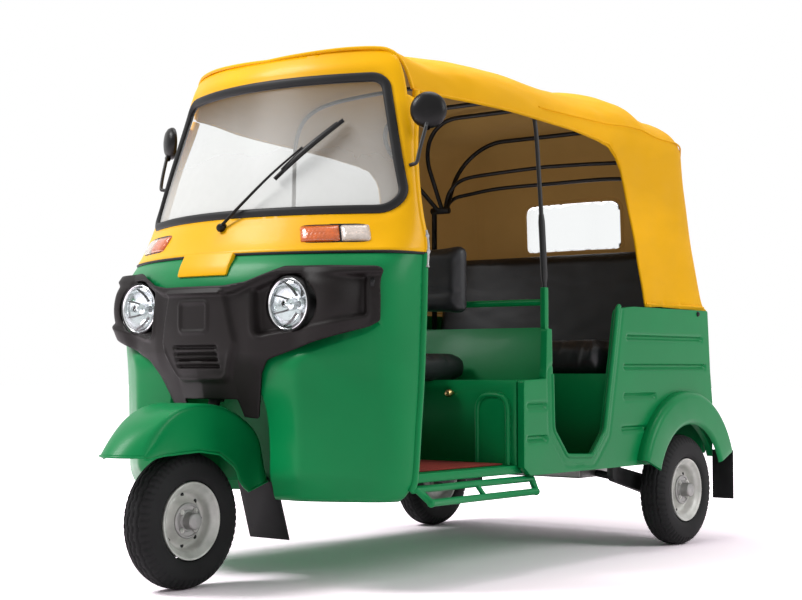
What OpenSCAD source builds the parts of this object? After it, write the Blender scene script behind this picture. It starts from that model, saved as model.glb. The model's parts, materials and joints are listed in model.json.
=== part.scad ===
// Three-wheeled auto rickshaw: open sides, a hood on bows, and a front wheel steered by a handlebar.
// Lengths are in millimetres: x runs to the vehicle's left, y to its tail and z up.
// Stations along y count from the front axle; at_middle() then sets the middle of the length on the origin.

/* [Overall] */
// Distance between the front and the rear axle
wheelbase = 2000; // [1960:10:2060]
// Distance between the middles of the rear wheels
rear_track = 1150; // [1140:2:1156]
// Reach of the front fender ahead of the front axle
front_reach = 293; // [285:1:300]
// Reach of the rear bumper and flaps behind the rear axle
rear_reach = 342; // [335:1:350]
// Height of the hood's middle
roof_z = 1700; // [1680:5:1730]
// Height of the floor
floor_z = 345; // [338:1:350]

/* [Wheels] */
// Tyre radius
tyre_r = 205; // [200:1:208]
// Tyre width
tyre_w = 105; // [96:1:108]
// Rim seat radius
rim_r = 100; // [96:1:104]
// Axle stub radius
axle_r = 12; // [10:0.5:14]
// Radial play of a turning fit
play = 0.05; // [0.03:0.01:0.08]

/* [Body] */
// Radius of the front fender's crown
fender_r = 350; // [345:1:355]
// Thickness of the body's walls
wall = 25; // [20:1:28]
// Outer half width of the side panels
side_x = 608; // [604:1:610]
// Half width over the rear fenders
fender_x = 650; // [640:1:660]
// Top of the body's panels, where the hood's hem lies
body_top = 880; // [870:1:890]
// Height of the line between the cowl and the screen's frame
divide_z = 1005; // [990:1:1015]
// Bow of the front skin across the width, per millimetre
bow = 0.000635; // [0.0006:0.000005:0.00066]
// Width of the front skin's corners
corner_w = 70; // [60:1:80]
// Headlamp radius
lamp_r = 75; // [70:1:78]
// Headlamp distance from the middle
lamp_x = 323; // [315:1:330]
// Headlamp height
lamp_z = 850; // [845:1:855]

/* [Steering] */
// Lean of the steering axis from upright, in degrees
rake = 16; // [15:0.5:17]
// Steering axis station at the height of the axle
axis_y = 35; // [32:1:40]
// Steering column radius
column_r = 18; // [16:0.5:19]

/* [Hood] */
// Thickness of the hood
hood_t = 12; // [10:1:14]
// Half width of the hood at the springing of its roof
hood_half = 560; // [556:1:566]
// Radius of the bows' tube
bow_r = 9; // [8:0.5:10]

/* [Hidden] */
// Pieces that are drawn one at a time or all together
$fn = 48;
length = front_reach + wheelbase + rear_reach;
middle_y = length / 2 - front_reach;
fit = 0.3;
// Wheelbase and roof at which the stations and heights were drawn
// The cabin's stations follow the rear axle, and heights over the divide follow the roof
drawn_base = 2000;
drawn_roof = 1700;
shift = wheelbase - drawn_base;
rear_x = rear_track / 2;
inner_x = side_x - 30;
stub_x = rear_x - 95;
bumper_y = drawn_base + rear_reach - 17;
hinge_y = 2234;
hinge_z = 596;
tongue_z = 712;
lip_z = tyre_r + sqrt(fender_r * fender_r - front_reach * front_reach);

// Colours of the finishes
GREEN = [0.09, 0.5, 0.3];
YELLOW = [0.98, 0.78, 0.08];
BLACK = [0.1, 0.1, 0.1];
VINYL = [0.13, 0.13, 0.14];
STEEL = [0.72, 0.73, 0.72];
GLASS = [0.75, 0.85, 0.9, 0.4];
AMBER = [0.95, 0.45, 0.1];
RED = [0.7, 0.08, 0.06];

// Levels of the front skin: height, station of the nose, half width and station of the door's edge
Z = 0;
NOSE = 1;
HALF = 2;
DOOR = 3;
front_levels = [
    [265, 95, 575, 365],
    [331, 90, 590, 378],
    [480, 85, 592, 392],
    [625, 80, 592, 407],
    [800, 66, 592, 418],
    [900, 66, 591, 424],
    [960, 85, 590, 427],
    [1005, 120, 589, 432],
    [up(1040), 147, 586, 435],
    [up(1110), 186, 578, 434],
    [up(1300), 250, 562, 438],
    [up(1500), 315, 542, 473],
    [up(1600), 347, 528, 498],
    [up(1660), 380, 505, 520]];

// Rows of the hood: station, rise of its middle over the roof's height, shares of height and width, squareness
STATION = 0;
RISE = 1;
HIGH = 2;
WIDE = 3;
SQUARE = 4;
hood_rows = [
    [372, -60, 1, 0.957, 0.5],
    [400, -36, 1, 0.958, 0.5],
    [450, -20, 1, 0.96, 0.52],
    [520, -10, 1, 0.968, 0.56],
    [660, 1, 1, 0.98, 0.62],
    [820, 6, 1, 0.99, 0.65],
    [1060, 0, 1, 1, 0.667],
    [1310, -17, 1, 1, 0.667],
    [1535, -15, 1, 1, 0.667],
    [1648, 2, 1, 1, 0.667],
    [1710, 8, 1, 1, 0.667],
    [1790, 2, 1, 1, 0.667],
    [1835, -18, 1, 1, 0.667],
    [1875, -38, 1, 1, 0.667],
    [1950, -54, 1, 1, 0.667],
    [2050, -55, 1, 1, 0.667],
    [2110, -57, 0.988, 0.988, 0.667],
    [2150, -58, 0.96, 0.958, 0.667],
    [2180, -58, 0.915, 0.925, 0.667],
    [2196, -58, 0.845, 0.892, 0.667],
    [2208, -58, 0.6, 0.88, 0.667],
    [2218, -58, 0.3, 0.88, 0.667],
    [2226, -58, 0, 0.88, 0.667]];
hood_lip = hood_rows[0][STATION];
hem_z = body_top + 0.5;
hood_foot = 40;
cap_end = 520;
post_y = 1117.5;

// Line of the tail: height and station
tail_line = [[330, 2236], [528, 2241], [643, 2224], [900, 2204]];

function up(z) = z <= divide_z ? z : divide_z + (z - divide_z) * (roof_z - divide_z) / (drawn_roof - divide_z);
function column(table, c) = [for (row = table) [row[0], row[c]]];
function level(z) = [z, lookup(z, column(front_levels, NOSE)), lookup(z, column(front_levels, HALF)),
    lookup(z, column(front_levels, DOOR))];
function levels(z0, z1) = concat([level(z0)], [for (row = front_levels) if (row[Z] > z0 && row[Z] < z1) row],
    [level(z1)]);
function bezier(a, b, c, t) = (1 - t) * (1 - t) * a + 2 * t * (1 - t) * b + t * t * c;
function slope(a, b, c, t) = 2 * (1 - t) * (b - a) + 2 * t * (c - b);

// Point of the front skin on one level, u from -1 at the right door to 1 at the left, moved out by d
function skin_point(row, u, d) =
    let (front = 0.7,
        side = abs(u),
        xc = row[HALF] - corner_w,
        a = [xc, row[NOSE] + bow * xc * xc],
        c = [row[HALF], row[DOOR]],
        b = [row[HALF], a[1] + 2 * bow * xc * corner_w],
        x = min(side, front) / front * xc,
        t = max(0, (side - front) / (1 - front)),
        p = side <= front ? [x, row[NOSE] + bow * x * x] : bezier(a, b, c, t),
        q = side <= front ? [1, 2 * bow * x] : slope(a, b, c, t),
        n = [q[1], -q[0]] / norm(q))
    [sign(u) * (p[0] + d * n[0]), p[1] + d * n[1], row[Z]];
function skin(rows, d) = [for (row = rows) [for (i = [-14:14]) skin_point(row, i / 14, d)]];
function skin_y(x, z) = level(z)[NOSE] + bow * x * x;

// Half of the hood's arch: over the roof and down the side, v from 0 at the middle to 1 at the hem
crown = 0.72;
spring_z = up(1450);
function flare(v) = max(0, (v - crown) / (1 - crown));
function arch(v, row, d) =
    let (w = hood_half - d,
        h = roof_z + row[RISE] - d - spring_z,
        a = min(v / crown, 1) * 90,
        s = flare(v))
    v <= crown ? [w * pow(sin(a), row[SQUARE]), spring_z + h * pow(cos(a), row[SQUARE])]
        : [w + hood_foot * s, spring_z + (hem_z - spring_z) * s];

// Station on the hood: the cap stays with the screen, and the stretch up to the posts gives
function hood_y(y) = y + shift * min(1, max(0, (y - cap_end) / (post_y - cap_end)));
function hood_point(row, u, d) =
    let (p = arch(abs(u), row, d),
        lip = max(0, 1 - (row[STATION] - hood_lip) / 400) * min(bow * p[0] * p[0], 80),
        back = max(0, min(1, (row[STATION] - 2080) / 60)),
        wide = row[WIDE] + (1 - row[WIDE]) * 0.9 * flare(abs(u)))
    [sign(u) * p[0] * wide, hood_y(row[STATION]) + lip - d * back, hem_z + (p[1] - hem_z) * row[HIGH]];
function hood_grid(d) = [for (k = [len(hood_rows) - 1:-1:0])
    [for (i = [16:-1:-16]) hood_point(hood_rows[k], i / 16, d)]];
function hood_back(z) = let (last = hood_rows[len(hood_rows) - 1])
    lookup((z - hem_z) / (roof_z + last[RISE] - hem_z), [for (row = hood_rows) if (row[HIGH] < 0.9) [row[HIGH], row[STATION]]]);
function tail_y(z) = lookup(z, tail_line);

module at_middle() {
    translate([0, -middle_y, 0])
        children();
}

// Pieces of the cabin and the tail, which keep their places about the rear axle
module at_tail() {
    translate([0, shift - middle_y, 0])
        children();
}

// Closed sheet between two grids of points: rows run up and columns from right to left
// The two halves are split into triangles as mirror images
module sheet(outer, inner) {
    rows = len(outer);
    cols = len(outer[0]);
    all = concat([for (r = outer) each r], [for (r = inner) each r]);
    under = rows * cols;
    faces = concat(
        [for (r = [0:rows - 2], c = [0:cols - 2]) let (i = r * cols + c)
            each c < cols / 2 - 1 ? [[i, i + cols, i + cols + 1], [i, i + cols + 1, i + 1]]
                : [[i, i + cols, i + 1], [i + 1, i + cols, i + cols + 1]]],
        [for (r = [0:rows - 2], c = [0:cols - 2]) let (i = under + r * cols + c)
            each c < cols / 2 - 1 ? [[i, i + cols + 1, i + cols], [i, i + 1, i + cols + 1]]
                : [[i, i + 1, i + cols], [i + 1, i + cols + 1, i + cols]]],
        [for (c = [0:cols - 2]) each [[c, c + 1, under + c + 1], [c, under + c + 1, under + c]]],
        [for (c = [0:cols - 2]) let (i = (rows - 1) * cols + c)
            each [[i + 1, i, under + i], [i + 1, under + i, under + i + 1]]],
        [for (r = [0:rows - 2]) let (i = r * cols)
            each [[i + cols, i, under + i], [i + cols, under + i, under + i + cols]]],
        [for (r = [0:rows - 2]) let (i = r * cols + cols - 1)
            each [[i, i + cols, under + i + cols], [i, under + i + cols, under + i]]]);
    polyhedron(all, faces);
}

module front_sheet(z0, z1, d_out, d_in) {
    sheet(skin(levels(z0, z1), d_out), skin(levels(z0, z1), d_in));
}

// Outline in y and z pulled out along x
module along_x(x0, x1) {
    translate([x0, 0, 0])
        rotate([90, 0, 90])
            linear_extrude(x1 - x0)
                children();
}

// Outline in x and z pulled out along y
module along_y(y0, y1) {
    translate([0, y1, 0])
        rotate([90, 0, 0])
            linear_extrude(y1 - y0)
                children();
}

module block(x0, x1, y0, y1, z0, z1) {
    translate([x0, y0, z0])
        cube([x1 - x0, y1 - y0, z1 - z0]);
}

module both_sides() {
    children();
    mirror([1, 0, 0])
        children();
}

module rod(p, q, r) {
    d = q - p;
    translate(p)
        rotate([0, acos(d[2] / norm(d)), atan2(d[1], d[0])])
            cylinder(h = norm(d), r = r);
}

// Bent tube through a list of points, with a fuller bead at each bend
module pipe(points, r) {
    for (i = [0:len(points) - 2])
        rod(points[i], points[i + 1], r);
    for (i = [1:1:len(points) - 2])
        translate(points[i])
            sphere(r = r * 1.2);
}

// Rounded rectangle by its limits
module pad_outline(x0, x1, y0, y1, r) {
    translate([x0 + r, y0])
        square([x1 - x0 - 2 * r, y1 - y0]);
    translate([x0, y0 + r])
        square([x1 - x0, y1 - y0 - 2 * r]);
    for (x = [x0 + r, x1 - r], y = [y0 + r, y1 - r])
        translate([x, y])
            circle(r = r);
}

// Outline given by its left half
module mirrored_outline(half) {
    polygon(half);
    mirror([1, 0])
        polygon(half);
}

// Turned about an axle along x, from angle a0 to a1 counted from the tail upwards
module about_axle(y, z, a0, a1) {
    translate([0, y, z])
        rotate([0, 90, 0])
            rotate([0, 0, 90 + a0])
                rotate_extrude(angle = a1 - a0)
                    children();
}

// Set along the steering axis, with the height of the axle at zero
module on_axis() {
    translate([0, axis_y, tyre_r])
        rotate([-rake, 0, 0])
            children();
}

function axis_at(z) = axis_y + (z - tyre_r) * tan(rake);

// Opening of the screen, grown by g
module screen_outline(g) {
    r = 60;
    hull()
        for (s = [-1, 1], p = [[486, up(1189)], [405, up(1512)]])
            translate([s * p[0], p[1]])
                circle(r = r + g);
}

// Arch under the hood's front edge, free below the height at which the hood's sides begin
module arch_outline(d) {
    foot = up(1490);
    cap = hood_rows[0];
    top = [for (i = [-32:32]) let (p = arch(abs(i / 32), cap, d))
        if (p[1] > foot) [sign(i) * p[0] * cap[WIDE], p[1]]];
    polygon(concat([[-700, 900], [-700, foot]], top, [[700, foot], [700, 900]]));
}

module floor_pan() {
    color(GREEN) at_middle()
        difference() {
            block(-inner_x + fit, inner_x - fit, 396, 1725 + shift, floor_z - 27, floor_z);
            translate([0, 60, 0])
                cylinder(h = 1000, r = 348);
        }
}

// Rolled inner edge of a lobe beside the wheel: a quarter turn from the skin to the back
lobe_x = 300;
lobe_roll = [38, 50];
function lobe_grid(t) = [for (row = levels(285, 655)) [for (a = [90:-16:-6])
    [lobe_x - (lobe_roll[0] - t) * sin(a),
        row[NOSE] + bow * lobe_x * lobe_x + 3 + lobe_roll[1] - (lobe_roll[1] - t) * cos(a), row[Z]]]];

module front_cowl() {
    color(GREEN) at_middle() {
        difference() {
            front_sheet(265, divide_z, 0, -wall);
            along_y(-100, 330)
                mirrored_outline([[0, 100], [lobe_x, 100], [lobe_x, 655], [262, 684], [326, tongue_z], [0, tongue_z]]);
            both_sides()
                translate([lamp_x, 0, lamp_z])
                    rotate([-90, 0, 0])
                        cylinder(h = 300, r = lamp_r + 3);
        }
        both_sides()
            sheet(lobe_grid(0), lobe_grid(12));
    }
}

module screen_frame() {
    color(YELLOW) at_middle()
        intersection() {
            difference() {
                front_sheet(divide_z, up(1655), 0, -wall);
                along_y(0, 520)
                    screen_outline(0);
            }
            along_y(0, 600)
                arch_outline(hood_t + 0.5);
        }
}

module windscreen() {
    color(GLASS) at_middle()
        intersection() {
            front_sheet(up(1100), up(1600), -8, -14);
            along_y(0, 600)
                screen_outline(-18 - fit);
        }
}

module screen_gasket() {
    color(BLACK) at_middle()
        intersection() {
            front_sheet(up(1100), up(1600), 5, -wall);
            along_y(0, 600)
                difference() {
                    screen_outline(-fit);
                    screen_outline(-18);
                }
        }
}

// Fascia: its tongue leans back over the wheel, less in the middle, where the steering column stands behind it
function lean(x, z) = let (t = max(0, tongue_z - z))
    0.4 * t * t / (t + 45) * (0.5 + 0.5 * min(1, abs(x) / 120));
fascia_heights = [484, 520, 560, 600, 630, 660, 690, 712, 760, 800, 860, 900, 935, 960, 965];
function fascia_grid(d) = [for (z = fascia_heights) [for (i = [-14:14]) let (p = skin_point(level(z), i / 14, d))
    p + [0, lean(p[0], z), 0]]];

// Left half of the fascia's outline, of the tray round a lamp and of the raised middle, in x and z
fascia_half = [[0, 566], [112, 566], [118, 512], [158, 507], [182, 556], [228, 640], [256, 688], [406, 745],
    [560, 786], [580, 806], [580, 950], [560, 962], [300, 962], [190, 918], [120, 908], [0, 908]];
tray_half = [[203, 890], [214, 752], [433, 796], [556, 818], [556, 934], [305, 938]];
middle_half = [[0, 892], [113, 892], [150, 738], [100, 626], [0, 626]];
slot_heights = [666, 685, 704, 723];

module fascia() {
    color(BLACK) at_middle()
        difference() {
            union() {
                intersection() {
                    sheet(fascia_grid(25), fascia_grid(fit));
                    along_y(-60, 500)
                        difference() {
                            mirrored_outline(fascia_half);
                            translate([0, -26])
                                mirrored_outline(fascia_half);
                        }
                    along_y(-60, 500)
                        translate([-700, 860])
                            square([1400, 200]);
                }
                intersection() {
                    sheet(fascia_grid(12), fascia_grid(fit));
                    along_y(-60, 500)
                        mirrored_outline(fascia_half);
                }
                intersection() {
                    sheet(fascia_grid(24), fascia_grid(6));
                    along_y(-60, 500)
                        difference() {
                            mirrored_outline(middle_half);
                            for (z = slot_heights)
                                pad_outline(-90, 90, z - 5, z + 5, 4);
                        }
                }
            }
            intersection() {
                sheet(fascia_grid(60), fascia_grid(5));
                along_y(-60, 500)
                    mirrored_outline(tray_half);
            }
            both_sides()
                translate([lamp_x, 0, lamp_z])
                    rotate([-90, 0, 0])
                        cylinder(h = 300, r = lamp_r + 3);
        }
}

module headlamps() {
    color(STEEL) at_middle()
        both_sides()
            translate([lamp_x, skin_y(lamp_x, lamp_z) - 12, lamp_z])
                rotate([-90, 0, 0]) {
                    cylinder(h = 60, r = lamp_r + 3 - fit);
                    translate([0, 0, 60])
                        cylinder(h = 30, r1 = lamp_r - 10, r2 = 30);
                }
}

module front_indicators() {
    color(AMBER) at_middle()
        intersection() {
            front_sheet(up(1030), up(1105), 18, fit);
            along_y(0, 400)
                both_sides()
                    pad_outline(390, 530, up(1043), up(1098), 12);
        }
}

module dashboard() {
    dash_z = up(1075);
    color(BLACK) at_middle()
        intersection() {
            block(-480, 480, 100, 345, dash_z - 22, dash_z);
            translate([0, level(dash_z)[NOSE] + wall + 4 * fit + 1 / (2 * bow), dash_z - 50])
                cylinder(h = 100, r = 1 / (2 * bow), $fn = 200);
        }
}

module wheel_well() {
    well_half = lobe_x - lobe_roll[0] - 4;
    color(BLACK) at_middle()
        difference() {
            union() {
                translate([0, 60, 268])
                    rotate([0, 0, 23])
                        rotate_extrude(angle = 134)
                            translate([335, 0])
                                square([12, 324]);
                intersection() {
                    translate([0, 60, 578])
                        cylinder(h = 12, r = 341);
                    translate([0, level(578)[NOSE] + lean(lobe_x, 578) + 4 + 1 / (2 * bow), 578])
                        cylinder(h = 12, r = 1 / (2 * bow), $fn = 200);
                    block(-well_half, well_half, 0, 420, 570, 600);
                }
            }
            on_axis()
                translate([0, 0, 300])
                    cylinder(h = 300, r = 30 + fit);
        }
}

module steering_head() {
    color(BLACK) at_middle()
        on_axis()
            difference() {
                translate([0, 0, 372])
                    cylinder(h = 210, r = 30);
                translate([0, 0, 300])
                    cylinder(h = 400, r = column_r + play);
            }
}

module bulkhead() {
    color(GREEN) at_tail() {
        along_x(-inner_x + fit, inner_x - fit)
            polygon([[933, floor_z], [958, floor_z], [958, 595], [1130, 595], [1130, 795], [1105, 795], [1105, 620],
                [933, 620]]);
        both_sides()
            along_y(922, 940)
                intersection() {
                    pad_outline(425, 555, 200, 582, 45);
                    translate([400, floor_z])
                        square([200, 300]);
                }
    }
}

module guard_rail() {
    color(GREEN) at_tail() {
        rod([-515, post_y, 880], [515, post_y, 880], 11);
        both_sides()
            block(515, 545, 1103, 1132, 795, 928);
    }
}

// Outline of a side panel in y and z
module side_outline() {
    difference() {
        polygon([[933, 340], [972, 312], [1720, 312], [2236, 312], [tail_y(528), 528], [tail_y(643), 643],
            [tail_y(body_top), body_top], [1640, body_top], [1532, 868], [1496, 693], [1439, 438], [1355, 358],
            [1194, 365], [1110, 456], [1110, 791], [1098, 791], [933, 617]]);
        translate([drawn_base, tyre_r])
            circle(r = 262);
    }
}

// Pressed grooves of a side panel: height, first and last station
grooves = [[776, 1590, 2180], [662, 1590, 2190], [545, 1575, 1660], [420, 1540, 1620], [560, 965, 1060],
    [440, 965, 1060]];

module side_panel() {
    difference() {
        along_x(inner_x, side_x)
            side_outline();
        for (g = grooves)
            rod([side_x + 4, g[1], g[0]], [side_x + 4, g[2], g[0]], 10);
    }
}

module side_panel_left() {
    color(GREEN) at_tail()
        side_panel();
}

module side_panel_right() {
    color(GREEN) at_tail()
        mirror([1, 0, 0])
            side_panel();
}

door_half = 330;
door_z0 = 400;
door_z1 = 600;

module rear_panel() {
    color(GREEN) at_tail()
        difference() {
            along_x(-inner_x + fit, inner_x - fit)
                polygon([[2211, 330], [2236, 330], [tail_y(528), 528], [tail_y(643), 643], [tail_y(body_top), body_top],
                    [tail_y(body_top) - wall, body_top], [tail_y(643) - wall, 643], [tail_y(528) - wall, 528]]);
            block(-door_half, door_half, 2150, 2300, door_z0, door_z1);
        }
}

module engine_door() {
    color(GREEN) at_tail() {
        along_x(-door_half + 6, door_half - 6)
            polygon([[2222, door_z0 + 6], [tail_y(door_z0 + 6), door_z0 + 6], [tail_y(528), 528],
                [tail_y(door_z1 - 6), door_z1 - 6], [tail_y(door_z1 - 6) - 16, door_z1 - 6], [2225, 528]]);
        both_sides()
            rod([180, hinge_y, hinge_z], [280, hinge_y, hinge_z], 5);
    }
}

module rear_fenders() {
    color(GREEN) at_tail()
        both_sides()
            about_axle(drawn_base, tyre_r, 22, 160)
                difference() {
                    pad_outline(240, 368, 560, fender_x, 26);
                    square([500, side_x + fit]);
                    translate([200, 500])
                        square([156, fender_x - 12 - 500]);
                }
}

module rear_mudflaps() {
    color(BLACK) at_tail()
        both_sides()
            block(556, fender_x - 6, drawn_base + rear_reach - 8, drawn_base + rear_reach, 150, 339.6);
}

module seat_box() {
    color(GREEN) at_tail()
        along_x(-inner_x + fit, inner_x - fit)
            polygon([[1500, floor_z], [1525, floor_z], [1525, 615], [2195, 615], [2195, 640], [1500, 640]]);
}

module passenger_seat() {
    color(VINYL) at_tail()
        along_x(-555, 555)
            pad_outline(1488, 1936, 640, 755, 35);
}

module passenger_backrest() {
    color(VINYL) at_tail()
        along_x(-555, 555)
            translate([1956, 640])
                rotate(-6)
                    pad_outline(4, 104, 14, 500, 35);
}

module driver_seat() {
    color(VINYL) at_tail()
        along_x(-290, 290)
            pad_outline(690, 1098, 620, 705, 28);
}

module driver_backrest() {
    color(VINYL) at_tail()
        along_x(-290, 290)
            pad_outline(1032, 1106, 840, 1090, 28);
}

// Opening of the rear window, shrunk by g
window_half = 232;
window_z = [up(1137), up(1345)];
module window_outline(g) {
    pad_outline(-window_half + g, window_half - g, window_z[0] + g, window_z[1] - g, 30 - g);
}

module hood() {
    color(YELLOW) at_middle()
        difference() {
            sheet(hood_grid(0), hood_grid(hood_t));
            along_x(-700, 700)
                polygon(concat([[300, 700], [300, up(1526)], [432, up(1524)], [hood_y(1112), up(1493)]],
                    [for (i = [0:8]) bezier([hood_y(1510), up(1466)], [hood_y(1612), up(1460)],
                        [hood_y(1632), up(1360)], i / 8)],
                    [[hood_y(1775), 700]]));
            along_y(hood_y(2150), hood_y(2300))
                window_outline(0);
        }
}

module rear_window() {
    sheet_t = 4;
    color(GLASS) at_tail()
        intersection() {
            along_x(-window_half, window_half)
                polygon([for (p = [[0, 0], [0, sheet_t], [1, sheet_t], [1, 0]])
                    [hood_back(window_z[p[0]]) - (hood_t + sheet_t) / 2 + p[1], window_z[p[0]]]]);
            along_y(2100, 2300)
                window_outline(fit);
        }
}

// Hoop of the hood: two legs, two bends and a top bar, standing on its base line
module hoop(half, height, bend) {
    both_sides() {
        translate([half, 0, 0])
            cylinder(h = height - bend, r = bow_r);
        translate([half - bend, 0, height - bend])
            rotate([90, 0, 0])
                rotate_extrude(angle = 90)
                    translate([bend, 0])
                        circle(r = bow_r);
    }
    translate([-half + bend, 0, height])
        rotate([0, 90, 0])
            cylinder(h = 2 * (half - bend), r = bow_r);
}

// Fanned bows: station at the roof, depth below the roof's middle and radius of the bends
fan_y = 1948;
fan_z = up(1319);
fan = [[1440, 54, 260], [1760, 34, 220], [2080, 94, 200]];

module hood_bows() {
    color(BLACK) at_tail() {
        for (i = [0:len(fan) - 1]) {
            rise = roof_z - fan[i][1] - fan_z;
            run = fan[i][0] - fan_y;
            translate([0, fan_y, fan_z])
                rotate([-atan2(run, rise), 0, 0])
                    hoop(500 - 21 * i, norm([run, rise]), fan[i][2]);
        }
        both_sides() {
            rod([445, fan_y, fan_z], [532, fan_y, fan_z], bow_r + 5);
            rod([521, fan_y, 640], [521, fan_y, fan_z], bow_r + 2);
        }
    }
}

module hood_posts() {
    color(BLACK) at_tail()
        translate([0, post_y, 928])
            hoop(530, roof_z - 48 - 928, 220);
}

module steps() {
    color(GREEN) at_middle()
        both_sides() {
            rod([585, 377, 300.5], [585, 1010 + shift, 300.5], 11);
            pipe([[585, 400, 300], [618, 425, 261], [618, 985 + shift, 261], [585, 1010 + shift, 300]], 11);
            rod([585, 700 + shift / 2, 300], [618, 700 + shift / 2, 261], 8);
        }
}

module mirrors() {
    color(BLACK) at_middle()
        both_sides() {
            pipe([[570, 405, up(1275)], [592, 397, up(1279)], [602, 434, up(1400)]], 6);
            translate([606, 434, up(1446)])
                rotate([0, 0, 30])
                    rotate([-90, 0, 0])
                        cylinder(h = 22, r = 56);
        }
}

module wiper() {
    color(BLACK) at_middle() {
        pipe([[-10, skin_y(10, up(1090)) - 4, up(1090)], [-10, skin_y(10, up(1107)) - 22, up(1107)],
            [95, skin_y(95, up(1275)) - 22, up(1275)]], 6);
        rod([40, skin_y(40, up(1200)) - 20, up(1200)], [205, skin_y(205, up(1450)) - 16, up(1450)], 7);
    }
}

module engine() {
    color(STEEL) at_tail()
        block(-230, 230, 1880, 2165, 235, 614.7);
}

module rear_arms() {
    color(BLACK) at_tail()
        both_sides() {
            along_x(stub_x, stub_x + 24) {
                hull() {
                    translate([1690, 275])
                        circle(r = 28);
                    translate([drawn_base, tyre_r])
                        circle(r = 36);
                }
                translate([1662, 275])
                    square([56, floor_z - 27 - 275]);
            }
            rod([stub_x, drawn_base, tyre_r], [rear_x + 58, drawn_base, tyre_r], axle_r);
            rod([rear_x + 50, drawn_base, tyre_r], [rear_x + 60, drawn_base, tyre_r], axle_r + 7);
            rod([233, drawn_base, tyre_r + 45], [stub_x + 5, drawn_base, tyre_r + 10], 14);
        }
}

module tail_lamps() {
    color(RED) at_tail()
        both_sides()
            along_x(400, 540)
                polygon([[tail_y(690) + fit, 690], [tail_y(690) + 22, 686], [tail_y(750) + 22, 754],
                    [tail_y(750) + fit, 750]]);
}

module rear_bumper() {
    color(BLACK) at_tail() {
        rod([-500, bumper_y, 360], [500, bumper_y, 360], 17);
        both_sides()
            block(420, 440, tail_y(370) + fit, bumper_y, 350, 370);
    }
}

module tow_eye() {
    color(BLACK) at_tail()
        difference() {
            translate([0, 0, 340])
                linear_extrude(14) {
                    translate([-32, tail_y(354) + fit])
                        square([64, 2278 - tail_y(354) - fit]);
                    translate([0, 2278])
                        circle(r = 24);
                }
            translate([0, 2278, 300])
                cylinder(h = 100, r = 11);
        }
}

module steering_column() {
    color(BLACK) at_middle() {
        on_axis()
            translate([0, 0, 272])
                cylinder(h = 538, r = column_r);
        rod([-80, axis_at(478), 478], [30, axis_at(478), 478], 24);
        along_x(-84, -62)
            union() {
                hull() {
                    translate([axis_at(478), 478])
                        circle(r = 28);
                    translate([105, 262])
                        circle(r = 26);
                }
                hull() {
                    translate([105, 262])
                        circle(r = 23);
                    translate([0, tyre_r])
                        circle(r = 30);
                }
            }
        rod([-70, 0, tyre_r], [58, 0, tyre_r], axle_r);
        rod([50, 0, tyre_r], [60, 0, tyre_r], axle_r + 7);
    }
}

module handlebar() {
    color(BLACK) at_middle() {
        difference() {
            on_axis()
                translate([0, 0, 765])
                    cylinder(h = 60, r = 34);
            on_axis()
                translate([0, 0, 700])
                    cylinder(h = 200, r = column_r + fit);
        }
        both_sides()
            pipe([[28, axis_at(960), 960], [150, axis_at(960) + 25, 966], [262, 395, 952]], 13);
        both_sides()
            rod([190, 322, 961], [266, 400, 951.5], 17);
    }
}

module front_fender() {
    color(GREEN) at_middle()
        difference() {
            about_axle(0, tyre_r, 17, 150)
                difference() {
                    pad_outline(195, fender_r, -92, 92, 34);
                    pad_outline(180, fender_r - 4, -88, 88, 30);
                    square([424, 400], center = true);
                }
            along_x(-200, 200)
                polygon([[-400, 100], [-400, lip_z], [-front_reach, lip_z], [-200, 408], [-12, 414], [70, 402], [160, 345],
                    [240, 296], [240, 100]]);
            on_axis()
                translate([0, 0, 250])
                    cylinder(h = 300, r = column_r + fit);
        }
}

module front_mudflap() {
    color(BLACK) at_middle()
        intersection() {
            along_x(-84, 84)
                polygon([[319, 320], [327.2, 316.5], [390, 118], [382, 118]]);
            along_y(300, 400)
                polygon([[-84, 100], [84, 100], [84, 302], [52, 304], [52, 330], [-52, 330], [-52, 304], [-84, 302]]);
        }
}

// Tyre section: a full rounded shape with the seat of the rim taken out
module tyre_outline() {
    mid = (tyre_r + rim_r) / 2 + 2;
    high = tyre_r - mid;
    difference() {
        polygon([for (i = [0:47]) let (a = i * 7.5)
            [mid + high * sign(cos(a)) * pow(abs(cos(a)), 0.75),
                tyre_w / 2 * sign(sin(a)) * pow(abs(sin(a)), 0.75)]]);
        translate([0, -47 - fit])
            square([rim_r + 16 + fit, 94 + 2 * fit]);
    }
}

// Rim section: the seat between two flanges, a dished web and the hub drum
hub_r = 54;
module rim_outline() {
    difference() {
        union() {
            translate([rim_r - 14, -47])
                square([30, 94]);
            polygon([[hub_r - 10, 8], [rim_r - 8, -16], [rim_r - 8, 0], [hub_r - 10, 24]]);
            translate([axle_r + play, -45])
                square([hub_r - axle_r - play, 76]);
        }
        translate([rim_r, -39])
            square([40, 78]);
    }
}

module tyre(x, y) {
    translate([x, 0, 0])
        translate([0, y, tyre_r])
            rotate([0, 90, 0])
                rotate_extrude()
                    tyre_outline();
}

module rim(x, y) {
    translate([x, y, tyre_r])
        rotate([0, 90, 0])
            rotate_extrude()
                rim_outline();
}

module front_tyre() {
    color(BLACK) at_middle()
        tyre(0, 0);
}

module front_rim() {
    color(STEEL) at_middle()
        rim(0, 0);
}

module rear_left_tyre() {
    color(BLACK) at_middle()
        tyre(rear_x, wheelbase);
}

module rear_left_rim() {
    color(STEEL) at_middle()
        rim(rear_x, wheelbase);
}

module rear_right_tyre() {
    color(BLACK) at_middle()
        tyre(-rear_x, wheelbase);
}

module rear_right_rim() {
    color(STEEL) at_middle()
        mirror([1, 0, 0])
            rim(rear_x, wheelbase);
}

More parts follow.
